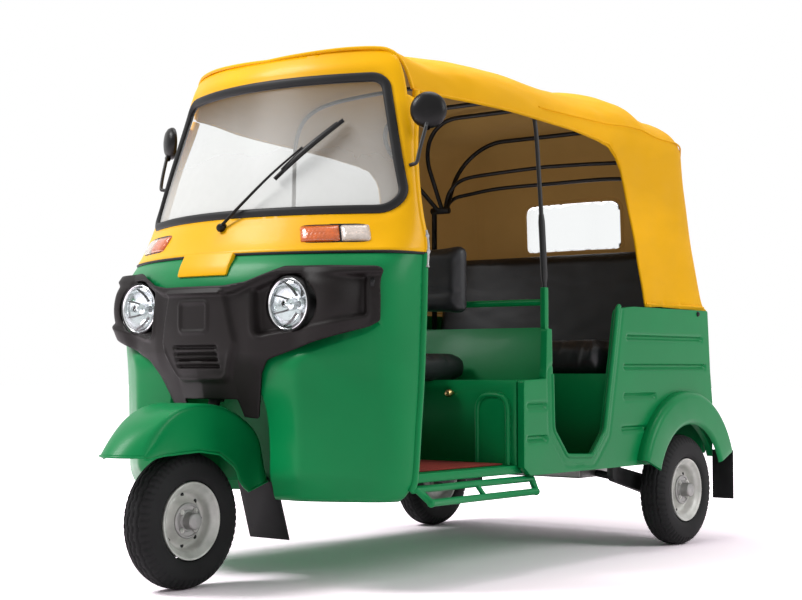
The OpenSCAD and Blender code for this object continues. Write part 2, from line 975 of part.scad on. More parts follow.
floor_pan();
front_cowl();
screen_frame();
windscreen();
screen_gasket();
fascia();
headlamps();
front_indicators();
dashboard();
wheel_well();
steering_head();
bulkhead();
guard_rail();
side_panel_left();
side_panel_right();
rear_panel();
rear_fenders();
rear_mudflaps();
seat_box();
passenger_seat();
passenger_backrest();
driver_seat();
driver_backrest();
hood();
rear_window();
hood_bows();
hood_posts();
steps();
mirrors();
wiper();
engine();
rear_arms();
tail_lamps();
rear_bumper();
tow_eye();
engine_door();
steering_column();
handlebar();
front_fender();
front_mudflap();
front_tyre();
front_rim();
rear_left_tyre();
rear_left_rim();
rear_right_tyre();
rear_right_rim();
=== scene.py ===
"""Looks of a three-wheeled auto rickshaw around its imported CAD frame.

Shapes are written in millimetres, as in the CAD source: x to the vehicle's left, y back from the front
axle and z up. to_world() turns them into the frame's metres.
"""
import json
import math

import bpy
import numpy as np
from mathutils import Matrix, Vector, geometry, noise

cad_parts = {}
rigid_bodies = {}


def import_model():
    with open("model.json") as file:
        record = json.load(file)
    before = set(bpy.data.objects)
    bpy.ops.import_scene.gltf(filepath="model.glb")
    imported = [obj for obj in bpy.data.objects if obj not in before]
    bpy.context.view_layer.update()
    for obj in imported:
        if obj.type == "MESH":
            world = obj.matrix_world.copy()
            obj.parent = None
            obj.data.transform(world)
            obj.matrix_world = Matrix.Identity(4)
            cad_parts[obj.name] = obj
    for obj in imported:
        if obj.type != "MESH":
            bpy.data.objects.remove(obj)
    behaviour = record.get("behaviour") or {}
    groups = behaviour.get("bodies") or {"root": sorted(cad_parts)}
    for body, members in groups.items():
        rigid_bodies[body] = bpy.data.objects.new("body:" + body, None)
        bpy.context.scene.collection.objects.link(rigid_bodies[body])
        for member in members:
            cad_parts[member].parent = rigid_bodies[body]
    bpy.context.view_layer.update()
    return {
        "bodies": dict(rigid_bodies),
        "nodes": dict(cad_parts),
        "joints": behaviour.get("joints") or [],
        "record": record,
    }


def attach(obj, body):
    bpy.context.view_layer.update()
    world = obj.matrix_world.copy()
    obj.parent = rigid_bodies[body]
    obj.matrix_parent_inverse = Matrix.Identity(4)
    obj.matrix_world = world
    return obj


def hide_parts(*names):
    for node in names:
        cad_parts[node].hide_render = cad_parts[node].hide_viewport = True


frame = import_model()
nodes = frame["nodes"]
scene = bpy.context.scene

MM = 0.001
TAU = 2 * math.pi
# Station of the frame's origin behind the front axle
MIDDLE = 1024.5


def to_world(p):
    return Vector((p[0], p[1] - MIDDLE, p[2])) * MM


def srgb(r, g, b):
    """Linear colour of an 8-bit one."""
    def lin(c):
        c /= 255
        return c / 12.92 if c < 0.04045 else ((c + 0.055) / 1.055) ** 2.4
    return lin(r), lin(g), lin(b)


def clamp(v, low=0.0, high=1.0):
    return max(low, min(high, v))


def smooth(v, low, high):
    t = clamp((v - low) / (high - low))
    return t * t * (3 - 2 * t)


# Finishes

def feed(tree, node, inputs):
    """Give a node's inputs their values, or links to the sockets that feed them."""
    for key, value in inputs.items():
        if isinstance(value, bpy.types.NodeSocket):
            tree.links.new(value, node.inputs[key])
        else:
            node.inputs[key].default_value = value
    return node


def add(tree, kind, inputs=None, **settings):
    """A new shader node with its settings and inputs."""
    node = tree.nodes.new("ShaderNode" + kind)
    for key, value in settings.items():
        setattr(node, key, value)
    return feed(tree, node, inputs or {})


class Finish:
    """A Principled material whose detail lies in the object's own space, in metres."""

    def __init__(self, name, colour, rough, **sockets):
        self.mat = bpy.data.materials.new(name)
        self.mat.use_nodes = True
        self.tree = self.mat.node_tree
        self.shader = self.tree.nodes["Principled BSDF"]
        self.give(Base_Color=(*colour, 1), Roughness=rough, **sockets)
        self.space = self.add("TexCoord").outputs["Object"]

    def add(self, kind, inputs=None, **settings):
        return add(self.tree, kind, inputs, **settings)

    def give(self, **sockets):
        feed(self.tree, self.shader, {key.replace("_", " "): value for key, value in sockets.items()})

    def noise(self, scale, detail, stretch=(1, 1, 1)):
        place = self.add("Mapping", {"Vector": self.space, "Scale": stretch}).outputs["Vector"]
        return self.add("TexNoise", {"Vector": place, "Scale": scale, "Detail": detail}).outputs["Fac"]

    def cells(self, scale):
        return self.add("TexVoronoi", {"Vector": self.space, "Scale": scale}).outputs["Distance"]

    def bands(self, scale, way):
        return self.add("TexWave", {"Vector": self.space, "Scale": scale}, bands_direction=way).outputs["Fac"]

    def math(self, how, a, b):
        return self.add("Math", {0: a, 1: b}, operation=how).outputs["Value"]

    def tint(self, fac, dark, light):
        """Base colour from dark to light over the middle third of fac."""
        ramp = self.add("ValToRGB", {"Fac": fac})
        for stop, place, colour in zip(ramp.color_ramp.elements, (0.35, 0.65), (dark, light)):
            stop.position = place
            stop.color = (*colour, 1)
        self.give(Base_Color=ramp.outputs["Color"])

    def sheen_range(self, fac, low, high):
        """Roughness from low to high as fac goes from 0 to 1."""
        span = self.add("MapRange", {"Value": fac, "To Min": low, "To Max": high})
        self.give(Roughness=span.outputs["Result"])

    def bump(self, height, distance, strength):
        dents = self.add("Bump", {"Height": height, "Distance": distance, "Strength": strength})
        self.give(Normal=dents.outputs["Normal"])


def scaled(colour, share):
    return tuple(clamp(c * share) for c in colour)


def paint(name, colour, rough):
    """Sprayed enamel: a slight orange peel, uneven gloss and a dusty change of shade."""
    f = Finish(name, colour, rough, Specular_IOR_Level=0.15, Coat_Weight=0.04, Coat_Roughness=0.12)
    f.tint(f.noise(2.3, 5), scaled(colour, 0.9), scaled(colour, 1.06))
    f.sheen_range(f.noise(9, 6), rough - 0.06, rough + 0.1)
    f.bump(f.noise(160, 2), 0.0006, 0.25)
    return f.mat


def plastic(name, colour, rough):
    """Moulded plastic with a fine leather-like grain."""
    f = Finish(name, colour, rough, Specular_IOR_Level=0.16)
    f.tint(f.noise(5, 6), scaled(colour, 0.82), scaled(colour, 1.2))
    f.sheen_range(f.noise(14, 5), rough - 0.07, rough + 0.1)
    f.bump(f.cells(420), 0.0004, 0.5)
    return f.mat


def metal(name, colour, rough, metallic):
    f = Finish(name, colour, rough, Specular_IOR_Level=0.3, Metallic=metallic)
    f.tint(f.noise(18, 6), scaled(colour, 0.8), scaled(colour, 1.12))
    f.sheen_range(f.noise(30, 5), rough - 0.06, rough + 0.12)
    f.bump(f.noise(300, 2), 0.0003, 0.3)
    return f.mat


def rubber(name, colour, rough):
    f = Finish(name, colour, rough, Specular_IOR_Level=0.2)
    dust = f.noise(7, 8)
    f.tint(dust, scaled(colour, 0.75), scaled(colour, 1.5))
    f.sheen_range(dust, rough - 0.08, rough + 0.08)
    f.bump(f.noise(500, 3), 0.0005, 0.4)
    return f.mat


# Scale of the weave's bands
THREADS = 120


def cloth(name, colour, rough, through=0.0):
    """Coated canvas: plain weave under the coat, faint streaks, soft sheen and a painted glow for light let
    through.
    """
    # through sets an emission: painted light, a glow that stands in for light let through the canvas
    f = Finish(name, colour, rough, Specular_IOR_Level=0.12, Sheen_Weight=0.04, Sheen_Roughness=0.5,
               Emission_Color=(*scaled(colour, 0.7), 1), Emission_Strength=through)
    f.tint(f.noise(3.2, 7, (1, 0.4, 1)), scaled(colour, 0.88), scaled(colour, 1.07))
    f.sheen_range(f.noise(12, 5), rough - 0.08, rough + 0.1)
    weft = f.math("MAXIMUM", f.bands(THREADS, "X"), f.bands(THREADS, "Z"))
    f.bump(f.math("MULTIPLY", f.bands(THREADS, "Y"), weft), 0.0005, 0.35)
    return f.mat


def vinyl(name, colour, rough):
    f = Finish(name, colour, rough, Specular_IOR_Level=0.3, Coat_Weight=0.06, Coat_Roughness=0.3)
    f.tint(f.noise(6, 6), scaled(colour, 0.8), scaled(colour, 1.25))
    f.sheen_range(f.noise(20, 5), rough - 0.07, rough + 0.1)
    grain = f.math("ADD", f.cells(330), f.noise(160, 4))
    f.bump(grain, 0.0006, 0.45)
    return f.mat


def lens(name, colour, rough):
    """Ribbed lamp lens."""
    f = Finish(name, colour, rough, Coat_Weight=0.6, Coat_Roughness=0.04, Transmission_Weight=0.25, IOR=1.49)
    f.tint(f.noise(40, 4), scaled(colour, 0.85), scaled(colour, 1.1))
    f.bump(f.math("MAXIMUM", f.bands(26, "X"), f.bands(26, "Z")), 0.001, 0.5)
    return f.mat


def glass(name, colour, rough=0.0):
    f = Finish(name, colour, rough, Transmission_Weight=1.0, IOR=1.45)
    f.sheen_range(f.noise(6, 6), rough, rough + 0.03)
    return f.mat


def screen_glass(name, low, high):
    """Clear sheet with a soft sheen and a film of dust that thickens from height high down to low."""
    f = Finish(name, (0.78, 0.77, 0.75), 0.6, Specular_IOR_Level=0.1)
    clear = f.add("BsdfTransparent", {"Color": (0.93, 0.94, 0.94, 1)}).outputs["BSDF"]
    sheen = f.add("BsdfGlossy", {"Roughness": 0.3}).outputs["BSDF"]
    height = f.add("SeparateXYZ", {"Vector": f.space}).outputs["Z"]
    film = f.add("MapRange", {"Value": height, "From Min": low, "From Max": high, "To Min": 0.5, "To Max": 0})
    dust = f.math("MULTIPLY", film.outputs["Result"], f.math("ADD", f.noise(3, 4), 0.5))
    pane = f.add("MixShader", {"Fac": 0.008, 1: clear, 2: sheen}).outputs["Shader"]
    dusty = f.add("MixShader", {"Fac": dust, 1: pane, 2: f.shader.outputs["BSDF"]}).outputs["Shader"]
    feed(f.tree, f.tree.nodes["Material Output"], {"Surface": dusty})
    return f.mat


GREEN = paint("green_paint", srgb(6, 130, 72), 0.34)
YELLOW = paint("yellow_paint", srgb(250, 184, 5), 0.34)
CLOTH = cloth("hood_cloth", srgb(240, 176, 3), 0.62)
# The lining glows with painted light from its emission, standing in for light let through the canvas
LINING = cloth("hood_lining", srgb(158, 122, 70), 0.85, 0.3)
PLASTIC = plastic("black_plastic", srgb(23, 19, 19), 0.48)
GLOSS = plastic("lamp_surround", srgb(20, 19, 20), 0.3)
BLACK = metal("black_metal", srgb(30, 30, 31), 0.42, 0.0)
VINYL = vinyl("seat_vinyl", srgb(33, 34, 37), 0.42)
GASKET = rubber("gasket_rubber", srgb(22, 22, 23), 0.5)
TYRE = rubber("tyre_rubber", srgb(26, 26, 27), 0.72)
RIM = metal("rim_paint", srgb(205, 204, 200), 0.38, 0.15)
STEEL = metal("engine_alloy", srgb(150, 150, 148), 0.45, 0.8)
CHROME = metal("lamp_chrome", srgb(225, 226, 228), 0.14, 1.0)
BRASS = metal("catch_brass", srgb(190, 160, 110), 0.3, 1.0)
AMBER = lens("amber_lens", srgb(235, 110, 30), 0.22)
CLEAR = lens("clear_lens", srgb(240, 225, 215), 0.2)
RED = lens("red_lens", srgb(178, 22, 18), 0.22)
GLASS = glass("clear_glass", srgb(236, 242, 242))
SCREEN = screen_glass("screen_glass", 1.12, 1.58)
VISION = glass("window_sheet", srgb(246, 248, 248), 0.08)
MAT = rubber("floor_mat", srgb(120, 46, 40), 0.8)


# Mesh helpers

def piece(name, points, faces, finish, slot, body="chassis", stands_for=(), sharp=35):
    """A new object from points in millimetres, riding on a body."""
    mesh = bpy.data.meshes.new(name)
    mesh.from_pydata([to_world(p) for p in points], [], faces)
    mesh.validate()
    mesh.shade_smooth()
    mesh.set_sharp_from_angle(angle=math.radians(sharp))
    mesh.materials.append(finish)
    obj = bpy.data.objects.new(name, mesh)
    scene.collection.objects.link(obj)
    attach(obj, body)
    if stands_for:
        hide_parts(*stands_for)
    return obj


def modify(obj, kind, **values):
    mod = obj.modifiers.new(kind.lower(), kind)
    for key, value in values.items():
        setattr(mod, key, value)


def thick(obj, depth, **values):
    """Thickness in millimetres, behind the faces."""
    modify(obj, "SOLIDIFY", thickness=depth * MM, offset=-1, use_even_offset=True, **values)


def bevel(obj, width, segments=2, angle=40):
    modify(obj, "BEVEL", width=width * MM, segments=segments, limit_method="ANGLE",
           angle_limit=math.radians(angle), harden_normals=False)


def grid_faces(rows, cols, wrap_rows=False, wrap_cols=False):
    faces = []
    for r in range(rows if wrap_rows else rows - 1):
        for c in range(cols if wrap_cols else cols - 1):
            r2, c2 = (r + 1) % rows, (c + 1) % cols
            faces.append((r * cols + c, r * cols + c2, r2 * cols + c2, r2 * cols + c))
    return faces


def join(parts):
    """Points and faces of several shapes as one."""
    points, faces = [], []
    for p, f in parts:
        first = len(points)
        points.extend(p)
        faces.extend(tuple(i + first for i in face) for face in f)
    return points, faces


def resample(path, step, closed=True):
    """Points at even steps along a polyline."""
    path = [Vector(p) for p in path]
    if closed:
        path = path + [path[0]]
    out = []
    for a, b in zip(path, path[1:]):
        n = max(1, round((b - a).length / step))
        out.extend(a.lerp(b, i / n) for i in range(n))
    if not closed:
        out.append(path[-1])
    return out


def spline(path, per=8):
    """Catmull-Rom curve through points."""
    path = [Vector(p) for p in path]
    last = len(path) - 1
    out = []
    for i in range(last):
        a, b, c, d = path[max(i - 1, 0)], path[i], path[i + 1], path[min(i + 2, last)]
        for k in range(per):
            t = k / per
            out.append(0.5 * (2 * b + (c - a) * t + (2 * a - 5 * b + 4 * c - d) * t * t
                              + (3 * b - a - 3 * c + d) * t ** 3))
    return out + path[-1:]


def fillet(corners, per=6):
    """Closed outline of (x, y, radius) corners, each rounded."""
    out = []
    n = len(corners)
    for i in range(n):
        p = Vector(corners[i][:2])
        a = Vector(corners[i - 1][:2]) - p
        b = Vector(corners[(i + 1) % n][:2]) - p
        r = corners[i][2]
        if r <= 0:
            out.append(p)
            continue
        half = a.angle(b) / 2
        cut = min(r / math.tan(half), 0.48 * a.length, 0.48 * b.length)
        start, end = p + a.normalized() * cut, p + b.normalized() * cut
        for k in range(per + 1):
            t = k / per
            out.append((1 - t) ** 2 * start + 2 * t * (1 - t) * p + t * t * end)
    return [tuple(p) for p in out]


def tangents(path, closed):
    """Each point of a path with its direction of travel."""
    n = len(path)
    for i, p in enumerate(path):
        after = path[(i + 1) % n] if closed or i < n - 1 else p
        before = path[i - 1] if closed or i > 0 else p
        yield p, (after - before).normalized()


def skinned(rings, closed):
    """Points and faces over rings of points; the ends of an open run are closed."""
    n, m = len(rings), len(rings[0])
    faces = grid_faces(n, m, wrap_rows=closed, wrap_cols=True)
    if not closed:
        faces.append(tuple(range(m - 1, -1, -1)))
        faces.append(tuple((n - 1) * m + k for k in range(m)))
    return [p for ring in rings for p in ring], faces


def sweep(path, section, up, closed=False):
    """A section of (side, out) points carried along a path; out leans to up(place)."""
    rings = []
    for p, t in tangents(path, closed):
        side = t.cross(up(p)).normalized()
        out = side.cross(t)
        rings.append([p + side * a + out * b for a, b in section])
    return skinned(rings, closed)


def ring_section(a, b, sides):
    return [(a * math.cos(TAU * k / sides), b * math.sin(TAU * k / sides)) for k in range(sides)]


def tube(path, r, sides=12, closed=False):
    """Round tube of one radius or a list of them, with frames carried along so that it never twists."""
    radii = r if isinstance(r, list) else [r] * len(path)
    rings, side = [], None
    for (p, t), radius in zip(tangents(path, closed), radii):
        side = t.orthogonal() if side is None else side - t * side.dot(t)
        side.normalize()
        out = t.cross(side)
        rings.append([p + side * a + out * b for a, b in ring_section(radius, radius, sides)])
    return skinned(rings, closed)


def lathe(profile, centre, axis, turns):
    """Profile of (radius, along) turned about an axis through centre."""
    x, y, z = centre
    points = []
    for i in range(turns):
        a = math.radians(360 * i / turns)
        for r, along in profile:
            across, high = r * math.cos(a), z + r * math.sin(a)
            place = (x + along, y + across, high) if axis == "x" else (x + across, y + along, high)
            points.append(Vector(place))
    return points, grid_faces(turns, len(profile), wrap_rows=True)


def facing(points, faces, outward):
    """The points, and the faces turned over if most of them look away from outward(middle)."""
    vote = 0.0
    for f in faces:
        a, b, c = points[f[0]], points[f[1]], points[f[2]]
        vote += (b - a).cross(c - a).dot(outward((a + b + c) / 3))
    return points, (faces if vote > 0 else [f[::-1] for f in faces])


def sideways(side):
    """The outward direction of faces that look to one side."""
    return lambda p: Vector((side, 0, 0))


def turned(profile, side, centre, turns, outward):
    """Profile turned about the x axis on one side of the vehicle, with its faces outward."""
    return facing(*lathe([(r, side * along) for r, along in profile], centre, "x", turns), outward)


def hoop(half):
    """Whole bow from its left half, listed from the foot to the middle."""
    return [Vector((-p.x, p.y, p.z)) for p in half[:-1]] + list(reversed(half))


def inside(p, loop):
    hit = False
    for (x0, y0), (x1, y1) in zip(loop, loop[1:] + loop[:1]):
        if (y0 > p[1]) != (y1 > p[1]) and p[0] < x0 + (p[1] - y0) * (x1 - x0) / (y1 - y0):
            hit = not hit
    return hit


def within(points, loop):
    """Which of many flat points lie inside a closed outline."""
    hit = np.zeros(len(points), bool)
    x, y = points[:, 0], points[:, 1]
    for (x0, y0), (x1, y1) in zip(loop, loop[1:] + loop[:1]):
        if y0 != y1:
            hit ^= ((y0 > y) != (y1 > y)) & (x < x0 + (y - y0) * (x1 - x0) / (y1 - y0))
    return hit


def to_line(p, line):
    """Distance from a flat point to an open polyline."""
    best = 1e9
    for (x0, y0), (x1, y1) in zip(line, line[1:]):
        dx, dy = x1 - x0, y1 - y0
        t = clamp(((p[0] - x0) * dx + (p[1] - y0) * dy) / (dx * dx + dy * dy))
        best = min(best, math.hypot(p[0] - x0 - t * dx, p[1] - y0 - t * dy))
    return best


def depth_in(p, loop):
    """Distance from a flat point to a closed outline, above zero inside it."""
    d = to_line(p, loop + loop[:1])
    return d if inside(p, loop) else -d


def flat_patch(outline, holes, step):
    """Flat triangles over an outline with holes: boundary at even steps and a staggered grid inside."""
    loops = [[tuple(p) for p in resample(loop, step)] for loop in [outline, *holes]]
    verts, edges = [], []
    for loop in loops:
        first = len(verts)
        verts.extend(Vector(p) for p in loop)
        edges.extend((first + i, first + (i + 1) % len(loop)) for i in range(len(loop)))
    size, clear = 4 * step, 0.55 * step
    near = {}
    for v in verts:
        near.setdefault((int(v.x // size), int(v.y // size)), []).append(v)
    low_x, high_x = min(v.x for v in verts), max(v.x for v in verts)
    low_y, high_y = min(v.y for v in verts), max(v.y for v in verts)
    row_h = step * 0.866
    for r in range(1, int((high_y - low_y) / row_h) + 1):
        y = low_y + r * row_h
        for c in range(int((high_x - low_x) / step) + 2):
            p = Vector((low_x + (c + 0.5 * (r % 2)) * step, y))
            i, j = int(p.x // size), int(p.y // size)
            around = [v for a in (-1, 0, 1) for b in (-1, 0, 1) for v in near.get((i + a, j + b), ())]
            if all((p - v).length >= clear for v in around):
                verts.append(p)
    out, _, faces, _, _, _ = geometry.delaunay_2d_cdt(verts, edges, [], 0, 1e-5)
    mids = np.array([[sum(out[i][k] for i in f) / len(f) for k in (0, 1)] for f in faces])
    keep = within(mids, loops[0])
    for loop in loops[1:]:
        keep &= ~within(mids, loop)
    faces = [f for f, k in zip(faces, keep) if k]
    used = sorted({i for f in faces for i in f})
    index = {v: k for k, v in enumerate(used)}
    return [tuple(out[i]) for i in used], [tuple(index[i] for i in f) for f in faces]


# Stage: camera, light and floor

AZ, TILT = math.radians(39.23), math.radians(2.64)
look = Vector((-math.sin(AZ) * math.cos(TILT), math.cos(AZ) * math.cos(TILT), math.sin(TILT)))
right = Vector((math.cos(AZ), math.sin(AZ), 0))
up = right.cross(look)
cam_data = bpy.data.cameras.new("camera")
cam_data.sensor_fit = "HORIZONTAL"
cam_data.sensor_width = 36
cam_data.lens = 69.6
cam_data.shift_x = 0.0297
cam_data.shift_y = -0.0056
cam_data.clip_end = 100
camera = bpy.data.objects.new("camera", cam_data)
camera.matrix_world = Matrix((right, up, -look)).transposed().to_4x4()
camera.location = (3.4125, -4.2757, 0.6637)
scene.collection.objects.link(camera)
scene.camera = camera
scene.view_settings.view_transform = "Standard"


def seen_white(tree, lit, shown):
    """The shader shown where the camera, a mirror or glass looks; the one lit elsewhere."""
    path = add(tree, "LightPath")
    any_ray = path.outputs["Is Camera Ray"]
    for other in ("Is Glossy Ray", "Is Transmission Ray"):
        top = add(tree, "Math", {0: any_ray, 1: path.outputs[other]}, operation="MAXIMUM")
        any_ray = top.outputs["Value"]
    return add(tree, "MixShader", {"Fac": any_ray, 1: lit, 2: shown}).outputs["Shader"]


world = bpy.data.worlds.new("studio")
scene.world = world
world.use_nodes = True
sky = world.node_tree
ambient = feed(sky, sky.nodes["Background"], {"Color": (1, 1, 1, 1), "Strength": 0.36})
white = add(sky, "Background", {"Color": (1, 1, 1, 1), "Strength": 1.0})
seen = seen_white(sky, ambient.outputs["Background"], white.outputs["Background"])
feed(sky, sky.nodes["World Output"], {"Surface": seen})


def lamp(name, place, aim, size, power):
    data = bpy.data.lights.new(name, "AREA")
    data.shape = "DISK"
    data.size = size
    data.energy = power
    obj = bpy.data.objects.new(name, data)
    obj.location = place
    obj.rotation_euler = (Vector(aim) - Vector(place)).to_track_quat("-Z", "Y").to_euler()
    scene.collection.objects.link(obj)


lamp("key", (-2.6, -3.6, 5.0), (0, -0.2, 0.8), 2.4, 300)
lamp("fill", (5.5, 1.8, 3.4), (0, 0.6, 0.8), 3.0, 140)
lamp("top", (0.0, 0.5, 5.0), (0, 0, 0.8), 3.0, 90)

floor_mesh = bpy.data.meshes.new("floor")
floor_mesh.from_pydata([(-40, -40, 0), (40, -40, 0), (40, 40, 0), (-40, 40, 0)], [], [(0, 1, 2, 3)])
floor = bpy.data.objects.new("floor", floor_mesh)
floor_mat = bpy.data.materials.new("floor")
floor_mat.use_nodes = True
ground = floor_mat.node_tree
ground.nodes.remove(ground.nodes["Principled BSDF"])
lit = add(ground, "BsdfDiffuse", {"Color": (0.8, 0.8, 0.8, 1)})
pale = add(ground, "BsdfDiffuse", {"Color": (1.5, 1.34, 1.45, 1)})
place = add(ground, "TexCoord").outputs["Object"]
away = add(ground, "VectorMath", {0: place}, operation="LENGTH").outputs["Value"]
grow = add(ground, "MapRange", {"Value": away, "From Min": 1.3, "From Max": 3.2, "To Min": 0, "To Max": 1},
           interpolation_type="SMOOTHSTEP")
glow = add(ground, "Emission", {"Strength": grow.outputs["Result"]})
both = add(ground, "AddShader", {0: pale.outputs["BSDF"], 1: glow.outputs["Emission"]})
seen = seen_white(ground, lit.outputs["BSDF"], both.outputs["Shader"])
feed(ground, ground.nodes["Material Output"], {"Surface": seen})
floor_mesh.materials.append(floor_mat)
scene.collection.objects.link(floor)


# Front skin of the body: height, nose station, half width and door station of each level, as in the source

LEVELS = [(265, 95, 575, 365), (331, 90, 590, 378), (480, 85, 592, 392), (625, 80, 592, 407),
          (800, 66, 592, 418), (900, 66, 591, 424), (960, 85, 590, 427), (1005, 120, 589, 432),
          (1040, 147, 586, 435), (1110, 186, 572, 432), (1300, 250, 530, 458), (1500, 315, 492, 516),
          (1600, 347, 476, 540), (1660, 380, 464, 560)]
# Bow across the nose, reach of a corner, run of s from the middle to a door, and its share that looks ahead
BOW = 0.000635
CORNER = 70
SPAN = 746.0
FRONT = 0.7


def slopes(rows, col):
    """Slopes of a curve through rows that never overshoots."""
    h = [b[0] - a[0] for a, b in zip(rows, rows[1:])]
    d = [(b[col] - a[col]) / (b[0] - a[0]) for a, b in zip(rows, rows[1:])]
    m = [d[0]]
    for i in range(1, len(d)):
        if d[i - 1] * d[i] <= 0:
            m.append(0.0)
        else:
            w1, w2 = 2 * h[i] + h[i - 1], h[i] + 2 * h[i - 1]
            m.append((w1 + w2) / (w1 / d[i - 1] + w2 / d[i]))
    return m + [d[-1]]


def curve(rows):
    """Smooth table: a function from the first column to the others."""
    tables = [slopes(rows, c) for c in range(1, len(rows[0]))]

    def at(v):
        v = clamp(v, rows[0][0], rows[-1][0])
        i = 0
        while i < len(rows) - 2 and v > rows[i + 1][0]:
            i += 1
        a, b = rows[i], rows[i + 1]
        h = b[0] - a[0]
        t = (v - a[0]) / h
        out = []
        for c, m in enumerate(tables, 1):
            out.append(a[c] * (1 + 2 * t) * (1 - t) ** 2 + b[c] * t * t * (3 - 2 * t)
                       + h * (m[i] * t * (1 - t) ** 2 - m[i + 1] * t * t * (1 - t)))
        return out
    return at


level = curve(LEVELS)


def front(s, z, d=0.0):
    """Point of the front skin: s is x in front and runs on round the corner; d stands off outwards."""
    nose, half, door = level(z)
    u = min(abs(s) / SPAN, 1.0)
    xc = half - CORNER
    if u <= FRONT:
        x = u / FRONT * xc
        p, q = Vector((x, nose + BOW * x * x)), Vector((1, 2 * BOW * x))
    else:
        t = (u - FRONT) / (1 - FRONT)
        a = Vector((xc, nose + BOW * xc * xc))
        c = Vector((half, door))
        b = Vector((half, min(a.y + 2 * BOW * xc * CORNER, door - 10)))
        p = (1 - t) ** 2 * a + 2 * t * (1 - t) * b + t * t * c
        q = 2 * (1 - t) * (b - a) + 2 * t * (c - b)
    q.normalize()
    return Vector((math.copysign(p.x + d * q.y, s), p.y - d * q.x, z))


def along_skin(x, z):
    """The s of a place x on a level."""
    half = level(z)[1]
    xc = half - CORNER
    if abs(x) <= xc:
        u = FRONT * abs(x) / xc
    else:
        u = FRONT + (1 - FRONT) * (1 - math.sqrt(clamp((half - abs(x)) / CORNER)))
    return math.copysign(u * SPAN, x)


def at_x(x, z, d):
    """Point off the front skin at a place x on a level."""
    return front(along_skin(x, z), z, d)


def flat_x(s, z):
    """The x of a place s on the nose."""
    return s * (level(z)[1] - CORNER) / (FRONT * SPAN)


def ahead(p):
    """Outwards on the front skin, towards the front and to the side."""
    return Vector((p.x / 400, -1, 0))


def skin_patch(outline, holes, step, relief, lift=front):
    """Sheet on the front skin. The outline is in (s, z); relief(s, z) stands off from the skin."""
    flat, faces = flat_patch(outline, holes, step)
    return facing([lift(s, z, relief(s, z)) for s, z in flat], faces, ahead)


def on_skin(loop):
    return [(along_skin(x, z), z) for x, z in loop]


def mirrored(half):
    """Closed outline from its left half; points on the middle line aren't doubled."""
    return half + [(-x, z) for x, z in reversed(half) if x > 1]


# Cowl: two full lobes beside the wheel, rolled in towards the wheel and under the fascia

LAMP_X, LAMP_Z, LAMP_R = 323, 850, 75
COWL_FOOT, COWL_HEAD = 265, 1003
# Rolled edge of a lobe from its foot to the fascia's tip: crease and edge in s and z, and depth
LOBE = [((345, 265), (234, 265), 36), ((343, 400), (229, 400), 58), ((342, 520), (222, 520), 58),
        ((341, 605), (198, 610), 56), ((345, 660), (198, 680), 50), ((380, 702), (290, 716), 36),
        ((453, 734), (415, 752), 20), ((531, 763), (524, 785), 13), ((580, 786), (572, 802), 6)]
# Edge behind the fascia, out of sight
COWL_INNER = [(546, 812), (546, 944), (300, 946), (190, 902), (110, 894)]


def cowl_relief(s, z):
    """The flank of each lobe folds back from its crease, and the foot of the skin tucks under."""
    t = clamp((338 - z) / 73)
    fold = 24 * clamp(1 - (abs(s) - 344) / 190) * smooth(z, 290, 350) * smooth(-z, -790, -690)
    return fold - 38 * (1 - math.sqrt(1 - 0.96 * t * t))


def lobe_roll(side, rows):
    """Flank that bends off at the crease and falls back to the edge, with a lip that runs on behind."""
    points = []
    for crease, edge, depth in rows:
        for k in range(16):
            share = min(k, 13) / 13
            fall = (math.sqrt(share * share + 0.01) - 0.1) / 0.905
            s, z = crease.lerp(edge, share + (0, 0.03, 0.04)[max(0, k - 13)])
            back = depth * fall + (0, 7, 24)[max(0, k - 13)]
            points.append(front(side * s, z, cowl_relief(s, z) - back))
    return facing(points, grid_faces(len(rows), 16), ahead)


creases = spline([crease for crease, _, _ in LOBE], 9)
edges = spline([edge for _, edge, _ in LOBE], 9)
depths = [v.x for v in spline([(depth, 0) for _, _, depth in LOBE], 9)]
rows = list(zip(creases, edges, depths))
left = [tuple(p) for p in creases] + COWL_INNER
foot = [(s, COWL_FOOT) for s in range(335, int(SPAN), 13)]
outline = foot + [(SPAN, COWL_FOOT), (SPAN, COWL_HEAD), (-SPAN, COWL_HEAD), (-SPAN, COWL_FOOT)]
outline += [(-s, z) for s, z in reversed(foot)] + [(-s, z) for s, z in left] + list(reversed(left))
parts = [skin_patch(outline, [], 13, cowl_relief)] + [lobe_roll(side, rows) for side in (-1, 1)]
cowl = piece("cowl", *join(parts), GREEN, "green_paint", stands_for=["front_cowl"])
modify(cowl, "WELD", merge_threshold=0.0005)
thick(cowl, 5)

# Screen frame, its rubber, the glass and the strip along the divide

# Front edge of the hood from its middle to the door, in x and z
CAP = [(0, 1652), (150, 1659), (290, 1664), (385, 1661), (420, 1650), (446, 1624), (462, 1590), (474, 1550),
       (486, 1500), (500, 1450)]
CAP = [tuple(p) for p in spline(CAP, 8)]
cap_run = np.concatenate(([0], np.cumsum(np.hypot(*np.diff(np.array(CAP), axis=0).T))))


def cap_at(t):
    """Point of the cap at a share of its length."""
    run = t * cap_run[-1]
    return np.interp(run, cap_run, [c[0] for c in CAP]), np.interp(run, cap_run, [c[1] for c in CAP])


def screen_loop(grow):
    """Rounded outline of the screen's opening in x and z."""
    r = 60 + grow
    lower, upper = (480, 1189), (384, 1508)
    lean = math.atan2(lower[0] - upper[0], upper[1] - lower[1])
    pts = [(lower[0] + r * math.cos(a), lower[1] + r * math.sin(a))
           for a in (math.radians(-90) + (math.radians(90) + lean) * k / 8 for k in range(9))]
    pts += [(upper[0] + r * math.cos(a), upper[1] + r * math.sin(a))
            for a in (lean + (math.pi / 2 - lean) * k / 8 for k in range(9))]
    return mirrored(pts)


